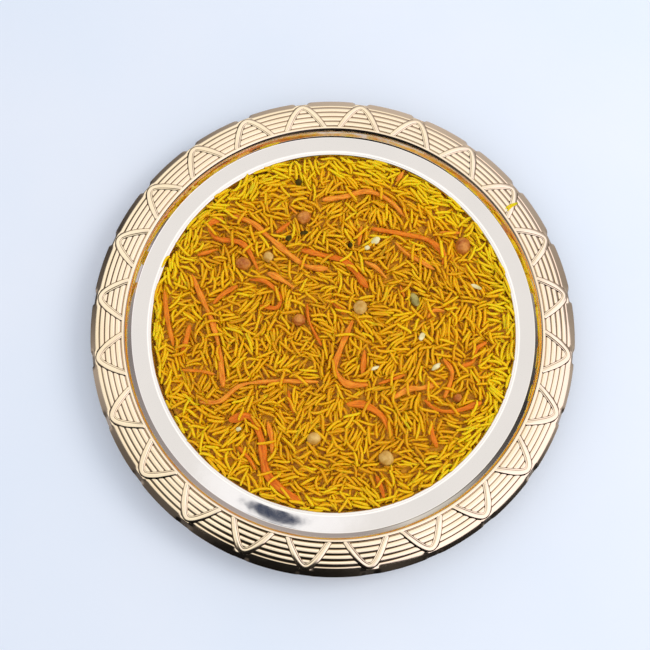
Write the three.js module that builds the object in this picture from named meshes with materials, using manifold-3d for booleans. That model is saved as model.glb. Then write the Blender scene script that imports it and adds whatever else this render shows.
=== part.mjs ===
// A round metal serving dish, gold rim over a silver basin, filled level with yellow rice,
// carrot strips, raisins and chickpeas. Millimetres, +Z up, the table at z = 0.
import * as THREE from 'three';
import { mergeVertices } from 'three/addons/utils/BufferGeometryUtils.js';
import Module from 'manifold-3d';

const wasm = await Module();
wasm.setup();

// ---- driving dimensions -------------------------------------------------------------------

const ROUND_STEPS = 60; // facets round the dish
const FACET_TURN = THREE.MathUtils.degToRad(1.5); // where the first facet starts
const SHEET = 1.7; // metal thickness
const GAP = 0.3; // left between neighbouring pieces

const DISH_RADIUS = 170;
const FLOOR_FILLET = 8; // bend between the floor and the wall
const FLOOR_FILLET_AT = 114.2; // distance of that bend's centre from the axis
const WALL_SLOPE = THREE.MathUtils.degToRad(72);
const LEDGE_Z = 25.5; // flat ledge round the rice
const LEDGE_BEND = 1.2;
const LEDGE_INNER = 128.3;
const LEDGE_OUTER = 140.6;
const STEP_SLOPE = THREE.MathUtils.degToRad(60); // steep step from the ledge up to the bead
const STEP_HIDDEN = 0.6; // the underside of that step starts this much farther out
const BEAD = 2.6; // round bead between the silver and the gold
const BEAD_AT = 146; // distance of the bead's middle from the axis
const BEAD_CREST_Z = 31.85;

const BAND_INNER = 147.8; // gold band with a row of arches
const BAND_OUTER = 164.6;
const BAND_TOP_Z = 30.8;
const BAND_DROP = 2;
const BAND_STEPS = 2;

const LIP_DROP = 6.4; // the band rolls over into a short skirt
const SKIRT_END = 4.4;
const SKIRT_TAPER = 0.4; // the skirt's edge turns in by this much

const ARCHES = 24;
const ARCH_FIRST = THREE.MathUtils.degToRad(7.8);
const ARCH_HALF_WIDTH = THREE.MathUtils.degToRad(4.76);
const ARCH_ROUNDING = THREE.MathUtils.degToRad(2);
const ARCH_FOOT = 145.6; // distance of the ribbon's feet from the axis, inside the bead
const ARCH_APEX = 163.4;
const RIBBON_BASE = 4.4;
const RIBBON_TOP = 2;
const RIBBON_RISE = 1.1; // above the band
const RIBBON_FOOT_RISE = 0.5;
const RIBBON_ROOT = 0.8; // sunk into the sheet

const RICE_EDGE_Z = 22.2;
const RICE_CROWN = 0.7; // the middle stands this much higher
const RICE_RINGS = 22;
const RICE_RING_STEP = 5.5;
const BUMP_HIGH = 1.4; // a grain that lies on top
const BUMP_LEAST = 0.35; // the lowest grain's share of that
const BUMP_LOW = -1.2; // the hollow between grains
const HOLLOW_SHARE = 0.55; // of the points beside a grain
const RING_JITTER = 0.3; // of the distance between rings

const STRIP_THICKNESS = 2.6;
const STRIP_TOP = 0.72; // its upper face is narrower than its base
const STRIP_END = 0.6; // and its ends are narrower too
const STRIP_STEP = 8; // length of one facet of a carrot strip
const STRIP_CLIMB = 0.5; // steepest slope where one strip goes over another

// ---- helpers ------------------------------------------------------------------------------

function seededRandom(seed) {
  let state = seed;
  return () => {
    state = (state + 0x6d2b79f5) | 0;
    let t = Math.imul(state ^ (state >>> 15), 1 | state);
    t = (t + Math.imul(t ^ (t >>> 7), 61 | t)) ^ t;
    return ((t ^ (t >>> 14)) >>> 0) / 4294967296;
  };
}

function arc(centreR, centreZ, radiusR, radiusZ, fromDegrees, toDegrees, steps) {
  const points = [];
  for (let i = 0; i <= steps; i += 1) {
    const angle = THREE.MathUtils.degToRad(fromDegrees + ((toDegrees - fromDegrees) * i) / steps);
    points.push(new THREE.Vector2(
      centreR + radiusR * Math.cos(angle),
      centreZ + radiusZ * Math.sin(angle),
    ));
  }
  return points;
}

function plainGeometry(positions, triangles) {
  const geometry = new THREE.BufferGeometry();
  geometry.setAttribute('position', new THREE.Float32BufferAttribute(positions, 3));
  geometry.setIndex(triangles);
  return geometry;
}

// The closed solid of a geometry whose shared points may be split and whose axis may be pinched.
function solidOf(source) {
  const bare = source.clone();
  bare.deleteAttribute('normal');
  bare.deleteAttribute('uv');
  const merged = mergeVertices(bare, 1e-4);
  const index = merged.index.array;
  const triangles = [];
  for (let i = 0; i < index.length; i += 3) {
    const [a, b, c] = [index[i], index[i + 1], index[i + 2]];
    if (a !== b && b !== c && c !== a) {
      triangles.push(a, b, c);
    }
  }
  const mesh = new wasm.Mesh({
    numProp: 3,
    vertProperties: new Float32Array(merged.attributes.position.array),
    triVerts: new Uint32Array(triangles),
  });
  return new wasm.Manifold(mesh);
}

function geometryOf(solid) {
  const { numProp, vertProperties, triVerts } = solid.getMesh();
  const positions = [];
  for (let i = 0; i < vertProperties.length; i += numProp) {
    positions.push(vertProperties[i], vertProperties[i + 1], vertProperties[i + 2]);
  }
  return plainGeometry(positions, Array.from(triVerts));
}

// A closed bar through a list of rings, each with the same number of corners, in order.
function barThrough(rings) {
  const corners = rings[0].length;
  const positions = rings.flat().flatMap((point) => [point.x, point.y, point.z]);
  const triangles = [];
  for (let ring = 0; ring < rings.length - 1; ring += 1) {
    for (let corner = 0; corner < corners; corner += 1) {
      const a = ring * corners + corner;
      const b = ring * corners + ((corner + 1) % corners);
      triangles.push(a, b, b + corners, a, b + corners, a + corners);
    }
  }
  const last = (rings.length - 1) * corners;
  for (let corner = 1; corner < corners - 1; corner += 1) {
    triangles.push(0, corner + 1, corner);
    triangles.push(last, last + corner, last + corner + 1);
  }
  return plainGeometry(positions, triangles);
}

// ---- dish ---------------------------------------------------------------------------------

function bandZ(radius) {
  const along = (radius - BAND_INNER) / (BAND_OUTER - BAND_INNER);
  return BAND_TOP_Z - BAND_DROP * along * along;
}

function bandPoints() {
  const points = [];
  for (let i = BAND_STEPS; i >= 0; i -= 1) {
    const radius = BAND_INNER + ((BAND_OUTER - BAND_INNER) * i) / BAND_STEPS;
    points.push(new THREE.Vector2(radius, bandZ(radius)));
  }
  return points;
}

function dishProfile() {
  const floorCentreZ = SHEET + FLOOR_FILLET;
  const wallEnd = THREE.MathUtils.radToDeg(WALL_SLOPE) - 90;
  const wallUnderRise = LEDGE_Z - SHEET - floorCentreZ;
  const underCorner = FLOOR_FILLET_AT
    + (FLOOR_FILLET + SHEET) / Math.sin(WALL_SLOPE) + wallUnderRise / Math.tan(WALL_SLOPE);
  const beadZ = BEAD_CREST_Z - BEAD;
  const stepRun = (beadZ - LEDGE_Z) / Math.tan(STEP_SLOPE);
  const lipZ = bandZ(BAND_OUTER);
  const lipWidth = DISH_RADIUS - BAND_OUTER;
  const skirtZ = lipZ - LIP_DROP - SKIRT_END;
  const skirtRadius = DISH_RADIUS - SKIRT_TAPER;
  return [
    new THREE.Vector2(0, 0),
    ...arc(FLOOR_FILLET_AT, floorCentreZ, FLOOR_FILLET + SHEET, FLOOR_FILLET + SHEET, -90, wallEnd, 2),
    new THREE.Vector2(underCorner, LEDGE_Z - SHEET),
    new THREE.Vector2(LEDGE_OUTER + STEP_HIDDEN, LEDGE_Z - SHEET),
    new THREE.Vector2(LEDGE_OUTER + stepRun + SHEET, beadZ - SHEET / 2),
    ...arc(BAND_OUTER, lipZ - LIP_DROP, lipWidth - SHEET, LIP_DROP - SHEET, 90, 0, 2),
    new THREE.Vector2(skirtRadius - SHEET, skirtZ),
    new THREE.Vector2(skirtRadius, skirtZ),
    ...arc(BAND_OUTER, lipZ - LIP_DROP, lipWidth, LIP_DROP, 0, 60, 2),
    ...bandPoints(),
    ...arc(BEAD_AT, beadZ, BEAD, BEAD, 50, 150, 3),
    new THREE.Vector2(LEDGE_OUTER + stepRun, beadZ),
    new THREE.Vector2(LEDGE_OUTER, LEDGE_Z),
    ...arc(LEDGE_INNER, LEDGE_Z - LEDGE_BEND, LEDGE_BEND, LEDGE_BEND, 90, wallEnd + 180, 1),
    ...arc(FLOOR_FILLET_AT, floorCentreZ, FLOOR_FILLET, FLOOR_FILLET, wallEnd, -90, 2),
    new THREE.Vector2(0, SHEET),
  ];
}

function onBand(angle, radius, height) {
  return new THREE.Vector3(
    radius * Math.cos(angle),
    radius * Math.sin(angle),
    bandZ(radius) + height,
  );
}

// Distance from the axis of an arch's middle line, at an angle from the arch's own middle.
function archRadius(turn) {
  const rounded = Math.hypot(turn, ARCH_ROUNDING) - ARCH_ROUNDING;
  const full = Math.hypot(ARCH_HALF_WIDTH, ARCH_ROUNDING) - ARCH_ROUNDING;
  return ARCH_APEX - (ARCH_APEX - ARCH_FOOT) * (rounded / full);
}

function archRibbon(middle) {
  const stations = [-1, -0.85, -0.45, -0.15, 0.15, 0.45, 0.85, 1];
  const small = 1e-3;
  const rings = stations.map((station) => {
    const turn = station * ARCH_HALF_WIDTH;
    const radius = archRadius(turn);
    const rise = Math.abs(station) === 1 ? RIBBON_FOOT_RISE : RIBBON_RISE;
    const along = new THREE.Vector2(
      archRadius(turn + small) - archRadius(turn - small),
      2 * small * radius,
    ).normalize();
    const corner = (sideways, height) => onBand(
      middle + turn - (sideways * along.x) / radius,
      radius + sideways * along.y,
      height,
    );
    return [
      corner(-RIBBON_BASE / 2, -RIBBON_ROOT),
      corner(RIBBON_BASE / 2, -RIBBON_ROOT),
      corner(RIBBON_TOP / 2, rise),
      corner(-RIBBON_TOP / 2, rise),
    ];
  });
  return barThrough(rings);
}

function dishGeometry() {
  const turned = new THREE.LatheGeometry(dishProfile(), ROUND_STEPS);
  turned.rotateX(Math.PI / 2);
  turned.rotateZ(FACET_TURN);
  let solid = solidOf(turned);
  for (let i = 0; i < ARCHES; i += 1) {
    const middle = ARCH_FIRST + (i * 2 * Math.PI) / ARCHES;
    solid = solid.add(solidOf(archRibbon(middle)));
  }
  return geometryOf(solid);
}

// ---- carrot strips ------------------------------------------------------------------------

function riceZ(x, y) {
  const out = Math.min(1, Math.hypot(x, y) / LEDGE_INNER);
  return RICE_EDGE_Z + RICE_CROWN * (1 - out * out);
}

// Each strip as seen from above: its width, then the points that its middle line passes.
// A later strip lies over the earlier ones that it crosses.
const STRIPS = [
  [5, [-4, 42.5], [-20, 45], [-45, 65], [-58, 76.5], [-74, 82]],
  [5, [-79, 80], [-88.5, 75], [-84, 65.5], [-65, 61], [-53.5, 42]],
  [5.5, [-23, 56.5], [-8, 52.5], [8, 48], [24, 28.5]],
  [4, [22, 48], [30, 43.5], [37.5, 35.5]],
  [4.5, [-8, 94], [8, 96.5], [25, 100.5], [40, 94], [52, 81]],
  [5, [27, 72.5], [50, 68.5], [69, 63.5], [79, 52], [77.5, 46]],
  [3.5, [44, 62], [52, 54], [62, 48], [72, 42]],
  [4, [76, 69.5], [91, 69.5]],
  [4, [20, 74], [18, 60]],
  [4, [46, 108], [51, 115]],
  [4.5, [-100.5, 38], [-97, 30], [-85, 3], [-80, -17], [-77, -42]],
  [4, [-93, -52], [-80, -52], [-65, -41], [-43, -38], [-11, -38.5]],
  [3.5, [-60, 34.5], [-48.5, 33], [-38, 22], [-40, 14.5], [-52, 15.5]],
  [5, [-47, 39.5], [-42, 37.5], [-36, 34], [-28, 28.5]],
  [4, [-85, 17], [-79, 23.5], [-68, 30]],
  [4, [-119, 26], [-117, 8], [-112, -13]],
  [5, [-101, 2], [-103, -8], [-106.5, -20]],
  [3, [-106, -30], [-92, -31], [-83, -33]],
  [6, [-73, -65], [-59, -62.5], [-51, -76], [-46, -102], [-24, -121]],
  [4, [-46, -66], [-43.5, -78], [-43, -88]],
  [4, [-66, -83], [-58, -92], [-54, -99]],
  [3, [-32, -44.5], [-31, -52], [-28.5, -60]],
  [5.5, [13, 5], [4, -16], [0.5, -29], [8, -39.5], [23, -40.5]],
  [4, [21, -16], [19.5, -34]],
  [3, [30, -40], [38, -37.5], [49, -33.5]],
  [5.5, [40, -50], [52, -43.5], [60, -43], [72, -39.5]],
  [4.5, [62, -51], [70, -57.5], [82, -59], [102, -53]],
  [4, [76, -22], [82, -32], [76, -50]],
  [5, [107, -10.5], [100, -15], [97, -24], [88, -28]],
  [6, [8, -54], [20, -54.5], [32, -62], [39, -76]],
  [6, [66.5, -67], [67, -75], [70, -84]],
  [5.5, [28, -103], [31, -111], [33, -118]],
  [4, [66, 7], [70, 12], [78, 12]],
  [6, [-2, 20], [2, 16], [8, 10]],
  [3, [-19, 17], [-18, 6], [-9, -13]],
  [3, [-97, 52.5], [-82, 57]],
  [4, [-41, 69], [-31, 77]],
  [3, [-32, 89], [-26, 83]],
  [3, [47, 30], [50, 22]],
];

function fineRoute(points) {
  const curve = new THREE.CatmullRomCurve3(points.map(([x, y]) => new THREE.Vector3(x, y, 0)));
  const steps = Math.ceil(curve.getLength());
  return curve.getSpacedPoints(steps);
}

// The underside's height along a route, one value a millimetre, over all that lies there already.
function restingHeights(route, width, laid) {
  const wanted = route.map((point) => {
    let height = riceZ(point.x, point.y) + GAP;
    for (const other of laid) {
      const reach = (width + other.width) / 2 + GAP;
      for (const spot of other.top) {
        if (Math.hypot(spot.x - point.x, spot.y - point.y) < reach) {
          height = Math.max(height, spot.z + GAP);
        }
      }
    }
    return height;
  });
  return route.map((_, here) => Math.max(...wanted.map((height, there) => {
    const away = Math.max(0, Math.abs(here - there) - STRIP_STEP);
    return height - STRIP_CLIMB * away;
  })));
}

function stripRing(route, heights, at, width) {
  const before = route[Math.max(0, at - 1)];
  const after = route[Math.min(route.length - 1, at + 1)];
  const sideways = new THREE.Vector2(before.y - after.y, after.x - before.x).normalize();
  const corner = (across, height) => new THREE.Vector3(
    route[at].x + sideways.x * across,
    route[at].y + sideways.y * across,
    heights[at] + height,
  );
  return [
    corner(-width / 2, 0),
    corner(width / 2, 0),
    corner((STRIP_TOP * width) / 2, STRIP_THICKNESS),
    corner((-STRIP_TOP * width) / 2, STRIP_THICKNESS),
  ];
}

function layStrip([width, ...points], laid) {
  const route = fineRoute(points);
  const heights = restingHeights(route, width, laid);
  const last = route.length - 1;
  const facets = Math.max(2, Math.round(last / STRIP_STEP));
  const rings = [];
  for (let i = 0; i <= facets; i += 1) {
    const at = Math.round((last * i) / facets);
    const atEnd = i === 0 || i === facets;
    rings.push(stripRing(route, heights, at, atEnd ? STRIP_END * width : width));
  }
  const top = route.map((point, i) => new THREE.Vector3(
    point.x,
    point.y,
    heights[i] + STRIP_THICKNESS,
  ));
  laid.push({ width, route, top });
  return barThrough(rings);
}

// ---- raisins, chickpeas and a nut ---------------------------------------------------------

// Middle, length and width as seen from above, height, and the long side's turn in degrees.
const ROUND_TOPPINGS = {
  raisin_1: { x: -64.5, y: 46.5, length: 12, width: 9.5, height: 7.5, turn: -6 },
  raisin_2: { x: -21, y: 81, length: 11, width: 9.5, height: 8, turn: 30 },
  raisin_3: { x: 93, y: 60, length: 13, width: 11, height: 8.5, turn: 80 },
  raisin_4: { x: -24.5, y: 5.5, length: 9.5, width: 9, height: 7.5, turn: 10 },
  raisin_5: { x: 85.5, y: -49.5, length: 6.5, width: 5.5, height: 5, turn: 40 },
  chickpea_1: { x: 18.5, y: 14.5, length: 10.5, width: 9.8, height: 9, turn: 60 },
  chickpea_2: { x: -14.5, y: -77.5, length: 10, width: 8.6, height: 8, turn: 20 },
  chickpea_3: { x: 35, y: -91, length: 11, width: 10, height: 9, turn: -50 },
  chickpea_4: { x: -46.5, y: 51.5, length: 8, width: 7.5, height: 7, turn: 80 },
  pistachio_1: { x: 57, y: 20.5, length: 11, width: 6.5, height: 4.5, turn: -62 },
};

// Half sunk in the rice; the rice keeps its gap to a grown copy.
function roundGeometry({ x, y, length, width, height, turn }, growth) {
  const ball = new THREE.SphereGeometry(1, 8, 5);
  ball.rotateX(Math.PI / 2);
  ball.scale(length / 2 + growth, width / 2 + growth, height / 2 + growth);
  ball.rotateZ(THREE.MathUtils.degToRad(turn));
  ball.translate(x, y, riceZ(x, y));
  return ball;
}

// ---- rice ---------------------------------------------------------------------------------

// Slivers of nut and dark bits: middle, length, width and turn in degrees.
const SLIVERS = [
  [30, 63.5, 7, 5, 30],
  [24, 58, 4, 3.5, 0],
  [101, 29.5, 8, 3, -25],
  [61.5, -6.5, 7, 4, 60],
  [28, -29, 7, 2.5, 20],
  [-66, -71, 4, 3, 15],
  [-25, 107, 5, 5, 0],
  [-32, 65, 5, 4, 40],
  [-21, 69, 6, 3, 10],
  [12, 60, 4, 4, 0],
];
const SLIVER_HEIGHT = 3;

function nearStrip(x, y, laid) {
  return laid.some(({ width, route }) => {
    const reach = width / 2 + RICE_RING_STEP + GAP;
    return route.some((point) => Math.hypot(point.x - x, point.y - y) < reach);
  });
}

// Triangles between two rings of points in order of their angle, the second one outside.
function stitch(inner, outer, triangles) {
  let i = 0;
  let o = 0;
  while (i < inner.count || o < outer.count) {
    const innerNext = (i + 1) / inner.count;
    const outerNext = (o + 1) / outer.count;
    const a = inner.start + (i % inner.count);
    const b = outer.start + (o % outer.count);
    if (inner.count === 1 || (o < outer.count && outerNext <= innerNext)) {
      triangles.push(a, b, outer.start + ((o + 1) % outer.count));
      o += 1;
      if (inner.count === 1 && o === outer.count) {
        return;
      }
    } else {
      triangles.push(a, b, inner.start + ((i + 1) % inner.count));
      i += 1;
    }
  }
}

// Pairs of neighbouring points stand up as grains, and points left over sink between them.
function grainHeights(count, triangles, random) {
  const neighbours = Array.from({ length: count }, () => new Set());
  for (let i = 0; i < triangles.length; i += 3) {
    for (let k = 0; k < 3; k += 1) {
      neighbours[triangles[i + k]].add(triangles[i + ((k + 1) % 3)]);
      neighbours[triangles[i + k]].add(triangles[i + ((k + 2) % 3)]);
    }
  }
  const heights = new Array(count).fill(null);
  const order = [...heights.keys()];
  for (let i = order.length - 1; i > 0; i -= 1) {
    const k = Math.floor(random() * (i + 1));
    [order[i], order[k]] = [order[k], order[i]];
  }
  for (const point of order) {
    const free = [...neighbours[point]].filter((other) => heights[other] === null);
    if (heights[point] !== null || free.length === 0) {
      continue;
    }
    const mate = free[Math.floor(random() * free.length)];
    const height = BUMP_HIGH * THREE.MathUtils.lerp(BUMP_LEAST, 1, random());
    heights[point] = height;
    heights[mate] = height;
    for (const other of free) {
      if (other !== mate && random() < HOLLOW_SHARE) {
        heights[other] = BUMP_LOW * THREE.MathUtils.lerp(0.5, 1, random());
      }
    }
  }
  return heights.map((height) => height ?? BUMP_LOW);
}

function heapGeometry(laid) {
  const random = seededRandom(11);
  const rings = [{ start: 0, count: 1, radius: 0 }];
  for (let ring = 1; ring <= RICE_RINGS; ring += 1) {
    const { start, count } = rings[rings.length - 1];
    rings.push({ start: start + count, count: 6 * ring, radius: ring * RICE_RING_STEP });
  }
  const flat = [];
  for (const { count, radius } of rings) {
    for (let i = 0; i < count; i += 1) {
      const angle = (2 * Math.PI * i) / count;
      const shift = radius > 0 ? RICE_RING_STEP * RING_JITTER : 0;
      flat.push([
        radius * Math.cos(angle) + shift * (random() - 0.5),
        radius * Math.sin(angle) + shift * (random() - 0.5),
      ]);
    }
  }
  const triangles = [];
  for (let ring = 1; ring < rings.length; ring += 1) {
    stitch(rings[ring - 1], rings[ring], triangles);
  }
  const bumps = grainHeights(flat.length, triangles, random);
  const positions = flat.flatMap(([x, y], i) => {
    const bump = nearStrip(x, y, laid) ? Math.min(0, bumps[i]) : bumps[i];
    return [x, y, riceZ(x, y) + bump];
  });

  // From the outermost ring the heap meets the wall, follows it down and closes on the floor.
  const floorCentreZ = SHEET + FLOOR_FILLET;
  const wallEnd = THREE.MathUtils.radToDeg(WALL_SLOPE) - 90;
  const side = arc(
    FLOOR_FILLET_AT, floorCentreZ, FLOOR_FILLET - GAP, FLOOR_FILLET - GAP, wallEnd, -90, 2,
  );
  const wallTop = side[0].x + (RICE_EDGE_Z - side[0].y) / Math.tan(WALL_SLOPE);
  side.unshift(new THREE.Vector2(wallTop, RICE_EDGE_Z));
  let previous = rings[rings.length - 1];
  for (const { x: radius, y: z } of side) {
    const next = { start: positions.length / 3, count: ROUND_STEPS };
    for (let i = 0; i < ROUND_STEPS; i += 1) {
      const angle = FACET_TURN + (2 * Math.PI * i) / ROUND_STEPS;
      positions.push(radius * Math.cos(angle), radius * Math.sin(angle), z);
    }
    stitch(previous, next, triangles);
    previous = next;
  }
  const middle = positions.length / 3;
  positions.push(0, 0, SHEET + GAP);
  for (let i = 0; i < ROUND_STEPS; i += 1) {
    triangles.push(middle, previous.start + ((i + 1) % ROUND_STEPS), previous.start + i);
  }
  return plainGeometry(positions, triangles);
}

function sliverGeometry([x, y, length, width, turn]) {
  const bit = new THREE.SphereGeometry(1, 5, 3);
  bit.rotateX(Math.PI / 2);
  bit.scale(length / 2, width / 2, SLIVER_HEIGHT / 2);
  bit.rotateZ(THREE.MathUtils.degToRad(turn));
  bit.translate(x, y, riceZ(x, y) + BUMP_HIGH / 2);
  return bit;
}

function riceGeometry(laid) {
  let solid = solidOf(heapGeometry(laid));
  for (const sliver of SLIVERS) {
    solid = solid.add(solidOf(sliverGeometry(sliver)));
  }
  for (const topping of Object.values(ROUND_TOPPINGS)) {
    solid = solid.subtract(solidOf(roundGeometry(topping, GAP)));
  }
  return geometryOf(solid);
}

// ---- the dish of rice ---------------------------------------------------------------------

const metal = new THREE.MeshStandardMaterial({ color: 0xd9b77c, roughness: 0.18, metalness: 1 });
const riceYellow = new THREE.MeshStandardMaterial({ color: 0xcfa010, roughness: 0.55, metalness: 0 });
const carrotOrange = new THREE.MeshStandardMaterial({ color: 0xe2701c, roughness: 0.45, metalness: 0 });
const roundLooks = {
  raisin: new THREE.MeshStandardMaterial({ color: 0x9c5638, roughness: 0.35, metalness: 0 }),
  chickpea: new THREE.MeshStandardMaterial({ color: 0xc79a52, roughness: 0.45, metalness: 0 }),
  pistachio: new THREE.MeshStandardMaterial({ color: 0x7f8544, roughness: 0.5, metalness: 0 }),
};

const dishOfRice = new THREE.Group();

function addNode(name, geometry, material) {
  const mesh = new THREE.Mesh(geometry, material);
  mesh.name = name;
  dishOfRice.add(mesh);
}

const laid = [];
const strips = STRIPS.map((strip) => layStrip(strip, laid));

addNode('dish', dishGeometry(), metal);
addNode('rice', riceGeometry(laid), riceYellow);
strips.forEach((geometry, i) => {
  addNode(`carrot_${String(i + 1).padStart(2, '0')}`, geometry, carrotOrange);
});
for (const [name, topping] of Object.entries(ROUND_TOPPINGS)) {
  const kind = name.split('_')[0];
  addNode(name, geometryOf(solidOf(roundGeometry(topping, 0))), roundLooks[kind]);
}

export default dishOfRice;
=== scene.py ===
"""A round metal serving dish, gold rim over a silver basin, filled with yellow rice and toppings.

Blender works in metres with +Z up. Lengths are written in millimetres, as 5 * MM.
Angles round the dish start at +X and turn towards +Y.
"""

import math

import bpy
import numpy as np
from mathutils import Matrix, Vector, noise


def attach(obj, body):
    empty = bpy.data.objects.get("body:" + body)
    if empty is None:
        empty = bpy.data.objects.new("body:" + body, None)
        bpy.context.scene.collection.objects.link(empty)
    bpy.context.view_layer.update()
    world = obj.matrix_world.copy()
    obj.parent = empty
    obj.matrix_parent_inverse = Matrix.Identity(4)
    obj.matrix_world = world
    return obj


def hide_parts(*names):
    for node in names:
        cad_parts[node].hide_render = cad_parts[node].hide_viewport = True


MM = 0.001

# ---- dish, as in the solid model ---------------------------------------------------------------

SHEET = 1.7 * MM
GAP = 0.3 * MM
DISH_RADIUS = 169.9 * MM
FLOOR_FILLET = 8 * MM
FLOOR_FILLET_AT = 114.2 * MM
WALL_SLOPE = math.radians(72)
LEDGE_Z = 25.5 * MM
LEDGE_BEND = 1.2 * MM
LEDGE_INNER = 128.3 * MM
LEDGE_CROWN = 0.036 * MM  # the ledge is very slightly domed across its width
LEDGE_EDGE_FROM = 130 * MM  # it starts to fall towards the wall here
STEP_FOOT = 0.6 * MM  # bend at the foot of the step
STEP_SLOPE = math.radians(56.5)
SEAM_AT = 143.7 * MM  # the silver ends here, on the step
SEAM_TURN = 0.05 * MM  # width of the rounding at the seam
BEAD_AT = 146.2 * MM  # the round bead that borders the gold
BEAD_CREST_Z = 31.84 * MM
BAND_INNER = 147.8 * MM
BAND_OUTER = 163.2 * MM
BAND_TOP_Z = 30.8 * MM
BAND_DROP = 2 * MM
SKIRT_Z = 18 * MM
SKIRT_TAPER = 0.4 * MM
TURN_STEPS = 360  # facets round the silver basin
RIM_STEPS = 720  # and round the gold rim

# The step from the bead's crest inwards: each facet's inner end and its slope in degrees.
STEP_FACETS = [
    (145.9 * MM, 8), (145.6 * MM, 20), (145.35 * MM, 34), (145.1 * MM, 44), (144.7 * MM, 50),
    (144.3 * MM, 54), (SEAM_AT, 56.8), (142.8 * MM, 56.8), (142 * MM, 56.6),
]

# The edge of the ledge above the wall, from LEDGE_EDGE_FROM inwards, in the same way.
LEDGE_EDGE_FACETS = [(129.7 * MM, 4), (129.4 * MM, 8), (129.1 * MM, 13), (128.85 * MM, 20)]

# The rounded lip from LIP_FROM outwards, in the same way.
LIP_FROM = 163.5 * MM
LIP_FACETS = [
    (164.2 * MM, 16), (165.2 * MM, 21), (166.2 * MM, 27), (166.5 * MM, 31), (167 * MM, 33),
    (167.8 * MM, 36), (168.8 * MM, 41), (169.3 * MM, 52), (169.6 * MM, 65), (DISH_RADIUS, 80.5),
]

# Outside each arch the lip is flat and then falls steeply.
SCALLOP_FACETS = [
    (164.2 * MM, 2), (165.2 * MM, 7), (166.2 * MM, 14), (166.5 * MM, 19), (167 * MM, 72.3),
    (167.6 * MM, 70.8), (168.2 * MM, 69.6), (DISH_RADIUS, 68.8),
]
SCALLOP_HALF = (math.radians(1.1), math.radians(2))

ARCHES = 24
ARCH_FIRST = math.radians(7.8)
ARCH_HALF_WIDTH = math.radians(5.5)
ARCH_ROUNDING = math.radians(2)
ARCH_FOOT = 146.2 * MM
ARCH_APEX = 164 * MM
RIDGES = 4
RIDGE_PITCH = 3.8 * MM

# Half of a ridge: distance from the middle of the groove, and height over the plain band.
RIDGE_SECTION = [
    (0, -0.21 * MM), (0.12 * MM, -0.18 * MM), (0.32 * MM, -0.04 * MM), (0.6 * MM, 0.08 * MM),
    (1 * MM, 0.2 * MM), (1.4 * MM, 0.27 * MM), (1.9 * MM, 0.3 * MM),
]
RECESS_DARKEST = -0.18 * MM  # height over the plain band at which the painted shade in the grooves is darkest
RECESS_UNSHADED = 0.05 * MM  # and the height from which there is none

# The gold sheet's unseen parts. Pairs are distances outwards and down, or distance and height.
SEAM_TUCK = (0.5 * MM, 0.3 * MM)  # its inner end, from the seam
BEAD_HALF = (1.6 * MM, 1.7 * MM)  # the bead's outer half: width and height
BEAD_TURN = (72, 36, 3)  # that half's first and last angle in degrees, and its facets
BEAD_BACK = 1.2 * MM  # outwards from the bead's crest
BAND_BACK = 163 * MM  # from the axis
LIP_BACK = (166.5 * MM, 25.6 * MM)
SKIRT_BEVEL = (0.5 * MM, 0.4 * MM, 0.3 * MM)  # width, and rise of its outer and inner side

# The silver sheet's unseen parts, and the rings of points that shape it.
HUB = 0.5 * MM  # radius of the flat cap at the axis
FLOOR_RING = 60 * MM
STEP_BACK_FOOT = 0.8 * MM  # outwards from the ledge's outer end
STEP_BACK_TOP = (1.2 * MM, 0.8 * MM)  # outwards and down from the seam
FILLET_STEPS = 8
FOOT_STEPS = 6
LEDGE_RINGS = np.linspace(0.04, 1, 9)  # shares of the ledge's width
LEDGE_BEND_START = 10  # degrees that the bend at its edge skips
LEDGE_BEND_STEPS = 5

# ---- rice ---------------------------------------------------------------------------------------

RICE_EDGE_Z = 22.2 * MM
RICE_CROWN = 0.7 * MM
BRIM_RISE = 1.8 * MM  # the rice is banked up against the wall
BRIM_FROM = 110 * MM
BRIM_TO = 126 * MM
RICE_RADIUS = 128.6 * MM
CORE_DEPTH = 3.2 * MM  # the core lies this far under the level of the rice
GRAIN_LENGTH = (9.5 * MM, 15 * MM)
BROKEN_LENGTH = (5 * MM, 8 * MM)
GRAIN_RADIUS = (0.98 * MM, 1.2 * MM)
GRAIN_SINK = 0.8  # height of a grain's middle over what carries it, as a share of its radius
GRAIN_BEND = 1 * MM  # spread of the bends to one side
GRAIN_WAVE = 1.1 * MM  # spread of the bends to both sides
GRAIN_DROOP = 0.12 * MM
GRAIN_FLATNESS = 0.88

# How many grains, how many random places each is offered, and the spread of their directions.
UNDER_GRAINS = (9300, 5, 0.45)
BROKEN_GRAINS = (900, 5, 1.2)  # short ones that fill gaps
UPPER_GRAINS = (3000, 4, 0.6)
EDGE_GRAINS = (520, 5, 0.9)  # these fill the outermost ring
CROSSING_GRAINS = (110, 1, 1.2)  # these lie over a carrot strip
EDGE_SITES = 2000
EDGE_RING = (121 * MM, 126.5 * MM)
EDGE_TONE_RING = (104 * MM, 122 * MM)  # grains grow brighter across this ring
PAINTED_LIGHT_AZIMUTH = math.radians(55)  # where the painted light on the grains at the edge is strongest
TONE = (0.54, 0.18)  # mean and spread of the grains' tones, from 0 to 1
EDGE_LIFT_AND_PAINTED_LIGHT = (0.28, 0.4)  # what the edge adds all round, and the painted light that it adds at most on the lit side
PAINTED_SHADE_PER_MM = 0.2  # painted shade: tone that a grain loses for each millimetre that covers it
COVER = (0.8 * MM, 2 * MM)  # a grain's own top, and the deepest cover that counts
GRAINS_PER_PIECE = 3200
CELL = 0.5 * MM  # of the map of heights on which the grains are laid
MAP_HALF = 132 * MM
UNDER_ROOF = 0.6 * MM  # height over the level of the rice that the lower grains keep to
UPPER_ROOF = 3.2 * MM
LEDGE_ROOF = (2.2 * MM, 2.4 * MM)  # the same over the ledge, for lower and upper grains
CROSSING_ROOM = 1.6 * MM
UNDER_LEVEL = 1 * MM  # of the map of tops where there is no strip or topping
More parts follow.
